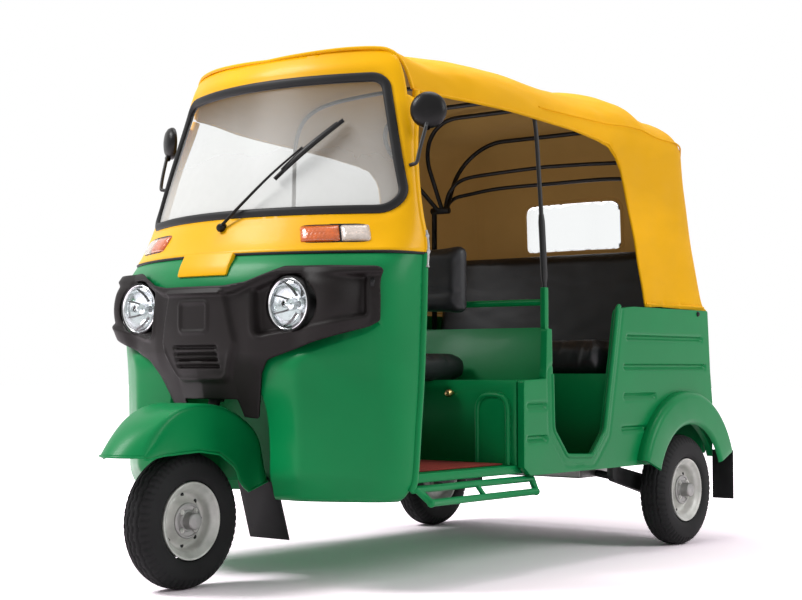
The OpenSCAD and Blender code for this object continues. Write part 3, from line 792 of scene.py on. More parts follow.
top_arch = [(max(x - 2, 0), z - 4) for x, z in CAP if z > 1500]
outline = mirrored([(SPAN, 1007), (SPAN, 1300), (SPAN, 1490)] + on_skin(reversed(top_arch)))
FRAME_LOOP = [tuple(p) for p in resample(on_skin(screen_loop(0)), 20)]


def frame_relief(s, z):
    """The frame swells away from the rubber."""
    return 5 * smooth(-depth_in((abs(s), z), FRAME_LOOP), 4, 34)


surround = piece("screen_surround", *skin_patch(outline, [FRAME_LOOP], 14, frame_relief), YELLOW,
                 "yellow_paint", stands_for=["screen_frame"])
thick(surround, 6)


def skin_out(p):
    return at_x(p.x, p.z, 10) - at_x(p.x, p.z, 0)


path = [front(s, z, 0) for s, z in resample(on_skin(screen_loop(-7)), 12)]
section = [(16, -5), (15, 3), (9, 7.5), (0, 8), (-9, 7.5), (-15, 3), (-16, -5), (-9, -14), (9, -14)]
rubber_piece = piece("screen_rubber", *sweep(path, section, skin_out, closed=True), GASKET, "gasket_rubber",
                     stands_for=["screen_gasket"])
modify(rubber_piece, "SUBSURF", levels=1, render_levels=1)

pane = piece("screen_glass", *skin_patch(on_skin(screen_loop(-4)), [], 26, lambda s, z: -6.0), SCREEN,
             "clear_glass", stands_for=["windscreen"])
thick(pane, 5)

path = [front(-SPAN + 4 + k * (2 * SPAN - 8) / 90, 1005, 1) for k in range(91)]
piece("divide_strip", *tube(path, 5, 10), GASKET, "gasket_rubber")


# Fascia: brows over the lamps, a sunk tray round each lamp, a raised middle and a tongue that leans back

FASCIA = [(0, 566, 0), (112, 566, 8), (118, 512, 6), (166, 507, 10), (186, 560, 20), (216, 640, 20),
          (248, 684, 34), (396, 738, 30), (530, 782, 14), (550, 798, 16), (550, 960, 22), (300, 963, 40),
          (190, 918, 60), (120, 908, 20), (0, 908, 0)]
TRAY = fillet([(203, 898, 18), (214, 752, 26), (425, 790, 30), (528, 814, 16), (528, 938, 20),
               (292, 938, 40)])
MIDDLE_PANEL = fillet([(-113, 892, 16), (113, 892, 16), (150, 738, 24), (100, 626, 36), (-100, 626, 36),
                       (-150, 738, 24)])
SQUARE = fillet([(-58, 862, 16), (58, 862, 16), (58, 768, 22), (-58, 768, 22)])
SLOTS = [666, 685, 704, 723]


def fascia_top(x):
    return 908 + 54 * smooth(abs(x), 120, 290)


def fascia_relief(s, z):
    """Brow, tray and its lip, middle panel, blank square, slots, pod round the lamp and flare."""
    x = flat_x(s, z)
    p = (abs(x), z)
    d = 12.0
    d += 15 * smooth(z, fascia_top(x) - 30, fascia_top(x) - 18)
    tray = depth_in(p, TRAY)
    d -= 24 * smooth(tray, 0, 16)
    d += 5 * math.exp(-((tray + 6) / 6) ** 2) * smooth(-z, -860, -780)
    mid = depth_in((x, z), MIDDLE_PANEL)
    d += 13 * smooth(mid, -9, 5)
    d += 7 * math.exp(-((mid + 2) / 7) ** 2) * smooth(-z, -745, -700)
    square = depth_in((x, z), SQUARE)
    d += 4 * smooth(square, -6, -2) - 6 * smooth(square, 4, 9)
    if abs(x) < 96:
        for slot_z in SLOTS:
            d -= 11 * smooth(-abs(z - slot_z), -6.5, -3) * smooth(-abs(x), -92, -84)
    reach = math.hypot(abs(x) - LAMP_X, z - LAMP_Z)
    pod = (1 - smooth(reach, 86, 225)) * smooth(abs(x), LAMP_X - 20, LAMP_X + 60)
    d += pod * max(0.0, BOW * (x * x - LAMP_X ** 2) + 12 - d)
    flare = smooth(abs(x), 150, 205) * smooth(z, 600, 700) * smooth(-z, -905, -860)
    return d + 6 * flare * (1 - smooth(tray, -4, 8))


def fascia_lift(s, z, d):
    """The tongue leans back below the middle."""
    p = front(s, z, d)
    t = max(0.0, 712 - z)
    p.y += 0.4 * t * t / (t + 45) * (0.5 + 0.5 * min(1, abs(p.x) / 120))
    return p


loop = on_skin(mirrored([p for p in fillet(FASCIA)[:-1] if p[0] >= 0]))
ring = ring_section(LAMP_R + 7, LAMP_R + 7, 48)
holes = [[(along_skin(side * LAMP_X, LAMP_Z) + x, LAMP_Z + z) for x, z in ring] for side in (-1, 1)]
mask = piece("fascia_mask", *skin_patch(loop, holes, 6, fascia_relief, fascia_lift), PLASTIC, "black_plastic",
             stands_for=["fascia"], sharp=60)
thick(mask, 6)

# Small slots near the tips, drawn as flat dark patches: painted shade for their openings
slot_shades = []
for side in (-1, 1):
    for mid in (832, 912):
        block = fillet([(530, mid - 13, 3), (539, mid - 13, 3), (539, mid + 13, 3), (530, mid + 13, 3)], 3)
        ring = [at_x(side * x, z, 13.5) for x, z in block]
        face = tuple(range(len(ring)))
        slot_shades.append((ring, [face if side < 0 else face[::-1]]))
thick(piece("tip_slot_shades", *join(slot_shades), GASKET, "gasket_rubber"), -1.5)


# Headlamps: rim with its shell, bowl, lens, bulb cap and the ribs of the bowl

LAMP_Y = level(LAMP_Z)[0] + BOW * LAMP_X ** 2 - 12
LAMP_RIM = [(77, -2), (79, -7), (82, -6), (84.5, 0), (84.5, 60), (70, 66)]
LAMP_BOWL = [(77.5, -5), (75.5, -6.5), (73, -4), (72, 4), (69, 14), (58, 29), (44, 40), (28, 47), (17, 50),
             (17, 40), (10, 36), (0.5, 35)]
LAMP_DOME = [(73, 0), (70, -4), (61, -9), (47, -13), (30, -16), (14, -17.5), (0.5, -18)]
LAMP_CAP = [(19, 22), (20, 14), (17, 7), (9, 3.5), (0.5, 3)]


def lamps(profile):
    """A profile turned about the axes of both lamps, which look ahead."""
    return join([lathe(profile, (side * LAMP_X, LAMP_Y, LAMP_Z), "y", 56) for side in (-1, 1)])


piece("lamp_rims", *lamps(LAMP_RIM), GLOSS, "black_plastic", stands_for=["headlamps"])
piece("lamp_bowls", *lamps(LAMP_BOWL), CHROME, "lamp_chrome")
thick(piece("lamp_lenses", *lamps(LAMP_DOME), GLASS, "clear_glass"), 2.5)
piece("lamp_caps", *lamps(LAMP_CAP), CHROME, "lamp_chrome")
ribs = []
for side in (-1, 1):
    for k in range(8):
        a = TAU * (k + 0.5) / 8
        arm = [Vector((side * LAMP_X + r * math.cos(a), LAMP_Y + y, LAMP_Z + r * math.sin(a)))
               for r, y in ((71, 10), (57, 27), (42, 38), (26, 45))]
        ribs.append(tube(spline(arm, 4), 2.4, 6))
piece("bowl_ribs", *join(ribs), GLOSS, "black_plastic")


# Front indicators: a dark frame, an amber lens and a clear end

SKEW, SKEW_Z = -0.456, 1063


def crowned(x0, x1, z0, z1, base, rise):
    """Relief of a crowned box whose ends lean by SKEW."""
    def relief(s, z):
        half_w, half_h = (x1 - x0) / 2, (z1 - z0) / 2
        x = abs(flat_x(s, z) if abs(s) < FRONT * SPAN else front(s, z).x)
        a = clamp(abs(x - SKEW * (z - SKEW_Z) - (x0 + x1) / 2) / half_w)
        b = clamp(abs(z - (z0 + z1) / 2) / half_h)
        return base + rise * (1 - a ** 6) * (1 - b ** 4)
    return relief


def skin_box(name, x0, x1, z0, z1, r, base, rise, finish, slot, stands_for=()):
    parts = []
    for side in (-1, 1):
        corners = [(x0, z0), (x1, z0), (x1, z1), (x0, z1)]
        loop = [(side * x, z) for x, z in fillet([(x + SKEW * (z - SKEW_Z), z, r) for x, z in corners])]
        parts.append(skin_patch(on_skin(loop), [], 6, crowned(x0, x1, z0, z1, base, rise)))
    thick(piece(name, *join(parts), finish, slot, stands_for=stands_for), 6)


skin_box("indicator_frames", 280, 488, 1031, 1096, 14, 4, 3, GLOSS, "black_plastic")
skin_box("indicator_amber", 287, 401, 1038, 1089, 8, 6, 11, AMBER, "amber_lens", ["front_indicators"])
skin_box("indicator_clear", 404, 481, 1038, 1089, 8, 6, 10, CLEAR, "clear_glass")

# Blank yellow tab that hangs from the screen's frame over the divide

TAB_FOOT, TAB_HEAD, TAB_HALF = 942, 1012, 104


def hanging(s, z, d):
    """The tab leans back less than the skin behind it."""
    p = front(s, z, d)
    p.y -= 0.35 * (p.y - front(s, TAB_FOOT, d).y)
    return p


loop = fillet([(-TAB_HALF, TAB_FOOT, 6), (TAB_HALF, TAB_FOOT, 6), (TAB_HALF, TAB_HEAD, 4),
               (-TAB_HALF, TAB_HEAD, 4)])
flat = skin_patch(on_skin(loop), [], 12, lambda s, z: 7.0, hanging)
tab = piece("front_tab", *flat, YELLOW, "yellow_paint")
thick(tab, 16)
bevel(tab, 1.5)


# Rolled beads along the door edges, green below the divide and yellow above

def door_beads(name, z0, z1, finish, slot):
    beads = []
    for side in (-1, 1):
        heights = [z0 + (z1 - z0) * k / 24 for k in range(25)]
        beads.append(tube([front(side * SPAN, z, -3) + Vector((0, 4, 0)) for z in heights], 13))
    piece(name, *join(beads), finish, slot)


door_beads("door_beads_low", 296, 1003, GREEN, "green_paint")
door_beads("door_beads_high", 1007, 1516, YELLOW, "yellow_paint")


# Hood: one coated cloth over the bows. Each row holds a station, the height of the middle, the shares of
# height and width, and the squareness

HOOD_ROWS = [(372, 1640, 1, 0.957, 0.5), (400, 1664, 1, 0.958, 0.5), (450, 1680, 1, 0.96, 0.52),
             (520, 1690, 1, 0.968, 0.56), (660, 1701, 1, 0.98, 0.62), (820, 1706, 1, 0.99, 0.65),
             (1060, 1700, 1, 1, 0.667), (1310, 1683, 1, 1, 0.667), (1535, 1685, 1, 1, 0.667),
             (1648, 1702, 1, 1, 0.667), (1710, 1708, 1, 1, 0.667), (1790, 1702, 1, 1, 0.667),
             (1835, 1682, 1, 1, 0.667), (1875, 1662, 1, 1, 0.667), (1950, 1646, 1, 1, 0.667),
             (2050, 1645, 1, 1, 0.667), (2110, 1643, 0.988, 0.988, 0.667), (2150, 1642, 0.96, 0.958, 0.667),
             (2180, 1642, 0.915, 0.925, 0.667), (2196, 1642, 0.845, 0.892, 0.667),
             (2208, 1642, 0.6, 0.88, 0.667), (2218, 1642, 0.3, 0.88, 0.667), (2226, 1642, 0, 0.88, 0.667)]
OPEN_EDGE = [(372, 1527), (432, 1524), (760, 1509), (1112, 1493), (1320, 1482), (1480, 1466), (1560, 1450),
             (1606, 1416), (1630, 1376), (1660, 1259), (1697, 1083), (1738, 880)]
# Half width of the roof, height where the sides spring, the crown's share of the cloth, half the cloth across
HOOD_HALF, SPRING, CROWN, ARC = 560, 1450, 0.72, 1010.0
# Height of the hem, station of the front edge and share of the cloth at the long seams
HEM_Z, LIP_Y, SEAM = 880.5, 372, 0.615
HOOD_CENTRE = Vector((0, 1200, 1000))


def hood_middle(row):
    return Vector((row[0], HEM_Z + (row[1] - HEM_Z) * row[2]))


walk = [0.0]
for a, b in zip(HOOD_ROWS, HOOD_ROWS[1:]):
    walk.append(walk[-1] + (hood_middle(b) - hood_middle(a)).length)
hood_row = curve([(w, *row) for w, row in zip(walk, HOOD_ROWS)])
WALK_END = walk[-1]


def hood_at(w, q):
    """Point of the hood: w runs from the front over the roof and down the back, q across from the middle."""
    y, top, hs, ws, e = hood_row(w)
    v = min(abs(q) / ARC, 1.0)
    s = 0.0
    if v <= CROWN:
        a = v / CROWN * math.pi / 2
        x, z = HOOD_HALF * math.sin(a) ** e, SPRING + (top - SPRING) * max(math.cos(a), 0) ** e
    else:
        s = (v - CROWN) / (1 - CROWN)
        x, z = HOOD_HALF + 40 * s, SPRING + (HEM_Z - SPRING) * s
    x *= ws + (1 - ws) * 0.9 * s
    if y < 950 and v <= CROWN:
        cap_x, cap_z = cap_at(v / CROWN)
        x += (cap_x - x) * (1 - smooth(y, LIP_Y, 950))
        z += (cap_z - z) * (1 - smooth(y, LIP_Y, 620))
    lip = max(0.0, 1 - (y - LIP_Y) / 400) * min(BOW * x * x, 150)
    return Vector((math.copysign(x, q), y + lip, HEM_Z + (z - HEM_Z) * hs))


def hood_cloth(w, q):
    """The hood with the slack and creases of its cloth."""
    p = hood_at(w, q)
    n = (hood_at(w, q + 3) - p).cross(hood_at(w + 3, q) - p)
    n = n.normalized() if n.length > 1e-9 else Vector((0, 0, 1))
    if n.dot(p - HOOD_CENTRE) < 0:
        n = -n
    v = abs(q) / ARC
    slack = 5 * noise.noise(Vector((w * 0.0035, q * 0.006, 3.1)))
    slack += 2.2 * noise.noise(Vector((w * 0.011, q * 0.015, 7.7)))
    slack *= 1 - smooth(w, 1980, 2080) * smooth(-abs(q), -420, -330)
    pull = math.sin(w * 0.02 + q * 0.05) * 1.6 * smooth(v, 0.66, 0.8) * smooth(w, 1000, 1500)
    seam = 2.5 * math.exp(-((v - SEAM) * ARC / 5) ** 2) * smooth(w, 760, 800)
    return p + n * (slack * smooth(w, 0, 160) + pull + seam - 2)


def hood_place(y, z):
    """The (w, q) of a place on the hood's left side."""
    w = np.interp(y, [r[0] for r in HOOD_ROWS], walk)
    for _ in range(6):
        low, high = 0.2 * ARC, ARC
        for _ in range(40):
            q = (low + high) / 2
            low, high = (q, high) if hood_at(w, q).z > z else (low, q)
        w += y - hood_at(w, q).y
    return max(w, 0.0), q


edge = [hood_place(y, z) for y, z in resample(OPEN_EDGE, 40, closed=False)]
edge[0] = (0.0, edge[0][1])
edge[-1] = (edge[-1][0], ARC)
left = edge + [(w, ARC) for w in np.linspace(edge[-1][0] + 30, WALK_END, 30)]
outline = left + [(w, -q) for w, q in reversed(left)]
# The window's head and foot along the middle, from their heights, and its half width
back_w = np.linspace(WALK_END - 700, WALK_END, 200)
head, sill = (min(back_w, key=lambda w: abs(hood_at(w, 0).z - z)) for z in (1345, 1137))
win_q = 0.151 * ARC
window_loop = fillet([(head, -win_q, 48), (sill, -win_q, 34), (sill, win_q, 34), (head, win_q, 48)])
flat, faces = flat_patch(outline, [window_loop], 17)
points = [hood_cloth(w, q) for w, q in flat]


def relaxed(points, faces, start, rounds):
    """Points behind station start drawn to the middle of their neighbours; the sheet's edges stay."""
    uses, near = {}, {}
    for f in faces:
        for a, b in zip(f, f[1:] + f[:1]):
            uses[min(a, b), max(a, b)] = uses.get((min(a, b), max(a, b)), 0) + 1
            near.setdefault(a, set()).add(b)
            near.setdefault(b, set()).add(a)
    fixed = {k for pair, n in uses.items() if n == 1 for k in pair}
    loose = [k for k in near if k not in fixed and points[k].y > start]
    for _ in range(rounds):
        moved = {k: sum((points[n] for n in near[k]), Vector()) / len(near[k]) for k in loose}
        for k, p in moved.items():
            points[k] = points[k].lerp(p, 0.6)
    return points


points = relaxed(points, faces, start=2040, rounds=8)
hood = piece("hood_cover", *facing(points, faces, lambda p: p - HOOD_CENTRE), CLOTH, "hood_cloth",
             stands_for=["hood"], sharp=70)
# The lining on the inner face carries that painted glow
hood.data.materials.append(LINING)
thick(hood, 4, material_offset=1, material_offset_rim=0)

# Hems along the openings, the front edge, the foot and the window, a tape inside it, piping on the long seams
hem_paths = [[(w, q - 6) for w, q in edge], [(w, 6 - q) for w, q in edge],
             [(5, q) for q in np.linspace(-edge[0][1] + 6, edge[0][1] - 6, 60)],
             [(w, ARC - 7) for w in np.linspace(edge[-1][0] + 8, WALK_END - 4, 40)]
             + [(WALK_END - 6, q) for q in np.linspace(ARC - 30, -ARC + 30, 60)]
             + [(w, 7 - ARC) for w in np.linspace(WALK_END - 4, edge[-1][0] + 8, 40)]]
hems = [tube([hood_cloth(w, q) for w, q in path], 4.5, 8) for path in hem_paths]
frame_hem = [hood_cloth(w, q) + Vector((0, 1, 0)) for w, q in resample(window_loop, 14)]
hems.append(tube(frame_hem, 4.0, 8, closed=True))
hem_obj = piece("hood_hems", *join(hems), CLOTH, "hood_cloth")
tape_path = [p + Vector((0, -6, 0)) for p in frame_hem]
tape = piece("window_tape", *tube(tape_path, 6.5, 8, closed=True), LINING, "hood_cloth")
piping = []
for side in (-1, 1):
    path = [hood_cloth(w, side * SEAM * ARC) for w in np.linspace(760, WALK_END - 620, 70)]
    piping.append(tube(path, 3.2, 8))
seams = piece("hood_piping", *join(piping), CLOTH, "hood_cloth")

# Welt between the screen's frame and the cloth
path = [hood_at(0, q) + Vector((0, -3, -4)) for q in np.linspace(-edge[0][1] + 4, edge[0][1] - 4, 80)]
piece("front_welt", *tube(path, 6, 10), YELLOW, "yellow_paint")

# Clear rear window, set in the cloth
flat, faces = flat_patch(window_loop, [], 17)
points = [hood_cloth(w, q) + Vector((0, -1, 0)) for w, q in flat]
sheet = piece("rear_window_sheet", *facing(points, faces, lambda p: Vector((0, 1, 0))), VISION, "clear_glass",
              stands_for=["rear_window"])
thick(sheet, 2)


# Wheels: tyres with ribs and notched shoulders, dished rims with dark discs of painted shade for their holes,
# hub drums with studs

WHEELBASE, REAR_X = 2000, 575
TYRE_R, TYRE_HALF, RIM_SEAT = 205, 52.5, 100
NOTCHES = 56
WHEELS = [("front", 0, 0, 1, "front_wheel"), ("rear_left", REAR_X, WHEELBASE, 1, "rear_wheel_left"),
          ("rear_right", -REAR_X, WHEELBASE, -1, "rear_wheel_right")]


def tyre_section():
    """Half turn of the tyre's section from bead to bead, as (radius, along)."""
    mid = (TYRE_R + RIM_SEAT) / 2 + 2
    high = TYRE_R - mid
    out = []
    for k in range(73):
        a = math.radians(-128 + 256 * k / 72)
        r = mid + high * math.copysign(abs(math.cos(a)) ** 0.75, math.cos(a))
        out.append((r, TYRE_HALF * math.copysign(abs(math.sin(a)) ** 0.75, math.sin(a))))
    return out


def tyre_relief(r, along, a):
    """Ribs, sipes, shoulder notches and the rings of the sidewall."""
    d = 0.0
    if r > 188:
        for groove in (-27, -9, 9, 27):
            wave = 1.6 * math.sin(a * NOTCHES / 2)
            d -= 4.5 * smooth(-abs(along - groove - wave), -3.4, -1.6)
    phase = (a * NOTCHES / TAU + 0.25 * math.copysign(1, along)) % 1.0
    shoulder = smooth(abs(along), 33, 38) * smooth(r, 174, 182)
    d -= 5.0 * shoulder * smooth(-abs(phase - 0.5), -0.2, -0.12)
    for ring in (120, 126, 163):
        d += 1.1 * smooth(-abs(r - ring), -2.2, -0.8) * (abs(along) > 30)
    return d


def tyre_mesh(x, y):
    turns = 336
    section = tyre_section()
    points = []
    for i in range(turns):
        a = TAU * i / turns
        for r, along in section:
            rr = r + tyre_relief(r, along, a)
            points.append(Vector((x + along, y + rr * math.cos(a), TYRE_R + rr * math.sin(a))))
    faces = grid_faces(turns, len(section), wrap_rows=True)
    middle = Vector((x, y, TYRE_R))

    def outward(p):
        radial = Vector((0, p.y - middle.y, p.z - middle.z))
        return p - middle - radial.normalized() * 155
    return facing(points, faces, outward)


RIM_SECTION = [(100, 30), (108, 39.5), (115.5, 41), (117, 44.5), (115.5, 47.5), (111.5, 47.5), (107.5, 43),
               (103, 37.5), (97, 34), (92.5, 30), (89.5, 22), (87, 10), (83, 3), (76, 1.5), (68, 5), (61, 13),
               (57, 20), (54.5, 25), (53, 25)]
DRUM_SECTION = [(54, 18), (54, 29), (52, 31.5), (47, 32), (45.5, 29.5), (33, 29.5), (31.5, 32), (27, 33),
                (25.5, 37), (25.5, 60), (23, 64), (16, 66), (0.5, 66)]
BACK_SECTION = [(54, -44.5), (54, -24), (66, -20), (84, -21), (92, -30), (100, -38), (107, -43),
                (111.5, -47.5), (115.5, -47.5), (117, -44.5), (115.5, -41), (108, -39.5), (100, -30)]
NUT = [(0.5, 38), (4.2, 38), (5, 37), (5, 34), (8.2, 34), (8.6, 33.4), (8.6, 28)]
# Flat dark disc that stands in for a hole in the dish: painted shade
HOLE_SHADE = [(0.5, 3.0), (6.4, 3.0), (7, 2.4)]
STUD_R, WELL_R = 39, 76

for name, x, y, side, body in WHEELS:
    centre = (x, y, TYRE_R)
    piece(name + "_tread", *tyre_mesh(x, y), TYRE, "tyre_rubber", body, [name + "_tyre"], sharp=48)
    dish = [turned(section, side, centre, 96, lambda p: Vector((p.x - x, 0, 0)) + 0.2 * (p - Vector(centre)))
            for section in (RIM_SECTION, BACK_SECTION)]
    piece(name + "_dish", *join(dish), RIM, "rim_paint", body, [name + "_rim"], sharp=50)
    drum = turned(DRUM_SECTION, side, centre, 72, sideways(side))
    piece(name + "_drum", *drum, STEEL, "engine_alloy", body, sharp=30)
    studs, hole_shades = [], []
    for k in range(4):
        a = TAU * (k + 0.5) / 4
        place = (x, y + STUD_R * math.cos(a), TYRE_R + STUD_R * math.sin(a))
        studs.append(turned(NUT, side, place, 6, lambda p: p - Vector(place)))
    # Eight dark discs round each dish: painted shade where its holes are
    for k in range(8):
        a = TAU * k / 8
        place = (x, y + WELL_R * math.cos(a), TYRE_R + WELL_R * math.sin(a))
        hole_shades.append(turned(HOLE_SHADE, side, place, 16, sideways(side)))
    piece(name + "_studs", *join(studs), RIM, "rim_paint", body, sharp=25)
    piece(name + "_wells", *join(hole_shades), GASKET, "gasket_rubber", body)


# Front fender: a crowned shell about the wheel with a crease along each side and a rolled hem

FENDER_R, FENDER_HALF, SHOULDER = 350, 92, 15
FENDER_HEM = [(-293, 396), (-200, 408), (-12, 414), (70, 402), (160, 345), (240, 296), (330, 240)]
# Angles of the tail and the bill, and how far each is drawn out at its sides
FENDER_A0, FENDER_A1, BILL, TAIL = 17.0, 145.0, 50.0, 66.0


def hem_radius(a):
    """Distance from the axle to the hem along a ray."""
    dy, dz = math.cos(a), math.sin(a)
    best = FENDER_R - 6
    for (y0, z0), (y1, z1) in zip(FENDER_HEM, FENDER_HEM[1:]):
        ey, ez = y1 - y0, z1 - z0
        det = dy * -ez + dz * ey
        if abs(det) > 1e-9:
            t = (y0 * -ez + (z0 - TYRE_R) * ey) / det
            u = (dy * (z0 - TYRE_R) - dz * y0) / det
            if t > 0 and -0.001 <= u <= 1.001:
                best = min(best, t)
    return best


def fender_section(a):
    """Across the fender at one angle: (radius, along) from the left hem over the crown to the right hem."""
    low = min(hem_radius(a), FENDER_R - 14)
    ease = clamp((FENDER_R - low) / 70)
    half = []
    for k in range(9):
        t = k / 8
        r = low + (FENDER_R - SHOULDER * ease - low) * t
        half.append((r, FENDER_HALF - 1 - 5 * math.sin(math.pi * t) * ease))
    for k in range(1, 9):
        b = math.pi / 2 * k / 8
        across = FENDER_HALF - 1 - SHOULDER * (1 - math.cos(b))
        half.append((FENDER_R - SHOULDER * ease * (1 - math.sin(b)), across))
    for k in range(1, 7):
        across = (FENDER_HALF - 1 - SHOULDER) * (1 - k / 6)
        half.append((FENDER_R + 0.5 * math.sin(math.pi / 2 * k / 6), across))
    return half + [(r, -along) for r, along in reversed(half[:-1])]


points, hems = [], [[], []]
steps = 90
for i in range(steps + 1):
    a = math.radians(FENDER_A0 + (FENDER_A1 - FENDER_A0) * i / steps)
    section = fender_section(a)
    ring = []
    for r, along in section:
        edge = (abs(along) / FENDER_HALF) ** 2.2
        back = edge * (BILL * smooth(i / steps, 0.62, 1.0) - TAIL * smooth(-i / steps, -0.28, 0.0))
        ring.append(Vector((along, r * math.cos(a) + back, TYRE_R + r * math.sin(a))))
    hems[0].append(ring[0])
    hems[1].append(ring[-1])
    points.extend(ring)
cols = len(section)
shape = facing(points, grid_faces(steps + 1, cols), lambda p: p - Vector((0, 0, TYRE_R + 60)))
shell = piece("front_fender_shell", *shape, GREEN, "green_paint", "steering", ["front_fender"], sharp=50)
thick(shell, 3.5)
lips = [tube(hem, 3.6, 8) for hem in hems]
lips.append(tube([points[k] for k in range(cols)], 3.6, 8))
lips.append(tube([points[steps * cols + k] for k in range(cols)], 3.6, 8))
piece("front_fender_hem", *join(lips), GREEN, "green_paint", "steering")


# Mirrors: a domed shell with a flat glass, on a bent arm

MIRROR = Vector((574, 468, 1446))
MIRROR_SHELL = [(50, 22), (54, 23.5), (56.5, 20), (56, 12), (51, 3), (40, -4), (24, -8), (0.5, -9.5)]
MIRROR_GLASS = [(51, 21), (30, 21.6), (0.5, 22)]
MIRROR_ARM = [(528, 436, 1275), (550, 428, 1276), (562, 430, 1284), (566, 442, 1330), (571, 466, 1400),
              (573, 473, 1425)]
shells, glasses, arms = [], [], []
for side in (-1, 1):
    turn = Matrix.Rotation(math.radians(side * 30), 3, "Z")
    middle = Vector((side * MIRROR.x, MIRROR.y, MIRROR.z))
    for profile, store, way in ((MIRROR_SHELL, shells, -1), (MIRROR_GLASS, glasses, 1)):
        points, faces = lathe(profile, (0, 0, 0), "y", 48)
        placed = [middle + turn @ p for p in points]
        store.append(facing(placed, faces, lambda p: turn @ Vector((0, way, 0))))
    arms.append(tube(spline([(side * x, y, z) for x, y, z in MIRROR_ARM], 6), 6))
    arms.append(lathe([(0.5, -5), (9, -5), (10, -2), (10, 5)], (side * 571, 468, 1392), "x", 20))
piece("mirror_shells", *join(shells), GLOSS, "black_plastic", stands_for=["mirrors"], sharp=50)
piece("mirror_glasses", *join(glasses), CHROME, "lamp_chrome")
piece("mirror_arms", *join(arms), BLACK, "black_metal")


# Wiper: a cap on the pivot, an arm, and a blade on its bridge

def blade_at(t, lift):
    return at_x(154 + 179 * t, 1243 + 179 * t, lift)


def off_screen(p):
    return Vector((0, -1, 0.3))


cap = lathe([(0.5, -26), (9, -25), (13, -20), (14, -8), (14, 6)], at_x(-5, 1096, 0), "y", 28)
reach = [at_x(-5, 1098, 18), at_x(60, 1165, 24), at_x(150, 1255, 30), at_x(234, 1338, 30)]
blade = [blade_at(k / 24, 9 + 4 * math.sin(math.pi * k / 24)) for k in range(25)]
spine = [blade_at(0.14 + 0.8 * k / 18, 19 + 8 * math.sin(math.pi * k / 18)) for k in range(19)]
bars = [tube(spline(reach), [5.5 - 2.5 * k / 24 for k in range(25)], 8),
        sweep(blade, ring_section(5, 8, 10), off_screen),
        sweep(spine, ring_section(9, 4, 10), off_screen), cap]
piece("wiper_set", *join(bars), GLOSS, "black_metal", stands_for=["wiper"])


# Seats: crowned pads blown up as cloth, with sewn channels pressed into them

def pad_mesh(size, r):
    """Rounded block about the origin, as points and faces."""
    half = [v / 2 for v in size]
    grid, faces = [], []
    for axis in range(3):
        for sign in (-1, 1):
            u, v = (axis + 1) % 3, (axis + 2) % 3
            nu, nv = max(4, int(size[u] / 14)), max(4, int(size[v] / 14))
            first = len(grid)
            for i in range(nu + 1):
                for j in range(nv + 1):
                    p = [0.0, 0.0, 0.0]
                    p[axis] = sign * half[axis]
                    p[u] = -half[u] + size[u] * i / nu
                    p[v] = -half[v] + size[v] * j / nv
                    core = Vector([clamp(p[k], -half[k] + r, half[k] - r) for k in range(3)])
                    out = Vector(p) - core
                    grid.append(core + out.normalized() * r if out.length > 1e-6 else Vector(p))
            for i in range(nu):
                for j in range(nv):
                    a = first + i * (nv + 1) + j
                    quad = (a, a + nv + 1, a + nv + 2, a + 1)
                    faces.append(quad if sign > 0 else quad[::-1])
    return grid, faces


def block(centre, size, r):
    points, faces = pad_mesh(size, r)
    return [Vector(centre) + p for p in points], faces


# Size of a pad's cloth in millimetres, and the frames and pressure it is blown up with
PAD_STEP, PAD_FRAMES, PAD_PRESSURE = 9, 14, 4.0


def swell(obj, limit):
    """Blow a closed pad up as cloth, with each point's travel limited, and keep the result as its mesh."""
    plain = obj.data
    modify(obj, "REMESH", mode="VOXEL", voxel_size=PAD_STEP * MM)
    bpy.context.view_layer.update()
    ready = obj.evaluated_get(bpy.context.evaluated_depsgraph_get())
    mesh = bpy.data.meshes.new_from_object(ready)
    obj.modifiers.clear()
    obj.data = mesh
    mesh.materials.clear()
    mesh.materials.append(plain.materials[0])
    start = [v.co.copy() for v in mesh.vertices]
    cloth_mod = obj.modifiers.new("cloth", "CLOTH")
    cloth_mod.settings.use_pressure = True
    cloth_mod.settings.uniform_pressure_force = PAD_PRESSURE
    cloth_mod.settings.effector_weights.gravity = 0.0
    cloth_mod.settings.quality = 4
    cloth_mod.point_cache.frame_end = PAD_FRAMES
    for frame in range(1, PAD_FRAMES + 1):
        scene.frame_set(frame)
    ready = obj.evaluated_get(bpy.context.evaluated_depsgraph_get())
    ends = [v.co.copy() for v in ready.data.vertices]
    obj.modifiers.clear()
    scene.frame_set(1)
    for v, a, b in zip(mesh.vertices, start, ends):
        move = b - a
        if move.length > limit * MM:
            move *= limit * MM / move.length
        v.co = a + move
    mesh.shade_smooth()


def pad(name, centre, size, r, tilt, node, limit, channels):
    """A pad whose top is crowned and sewn in channels; its own axes are x across, y to the tail and z up."""
    points, faces = pad_mesh([v - 1.2 * limit for v in size], r)
    turn = Matrix.Rotation(math.radians(tilt), 3, "X")
    placed = [Vector(centre) + turn @ p for p in points]
    obj = piece(name, placed, faces, VINYL, "seat_vinyl", stands_for=[node], sharp=180)
    modify(obj, "WELD", merge_threshold=0.0002)
    swell(obj, limit)
    sew(obj, Vector(centre), turn, *channels)
    modify(obj, "SMOOTH", factor=0.5, iterations=3)


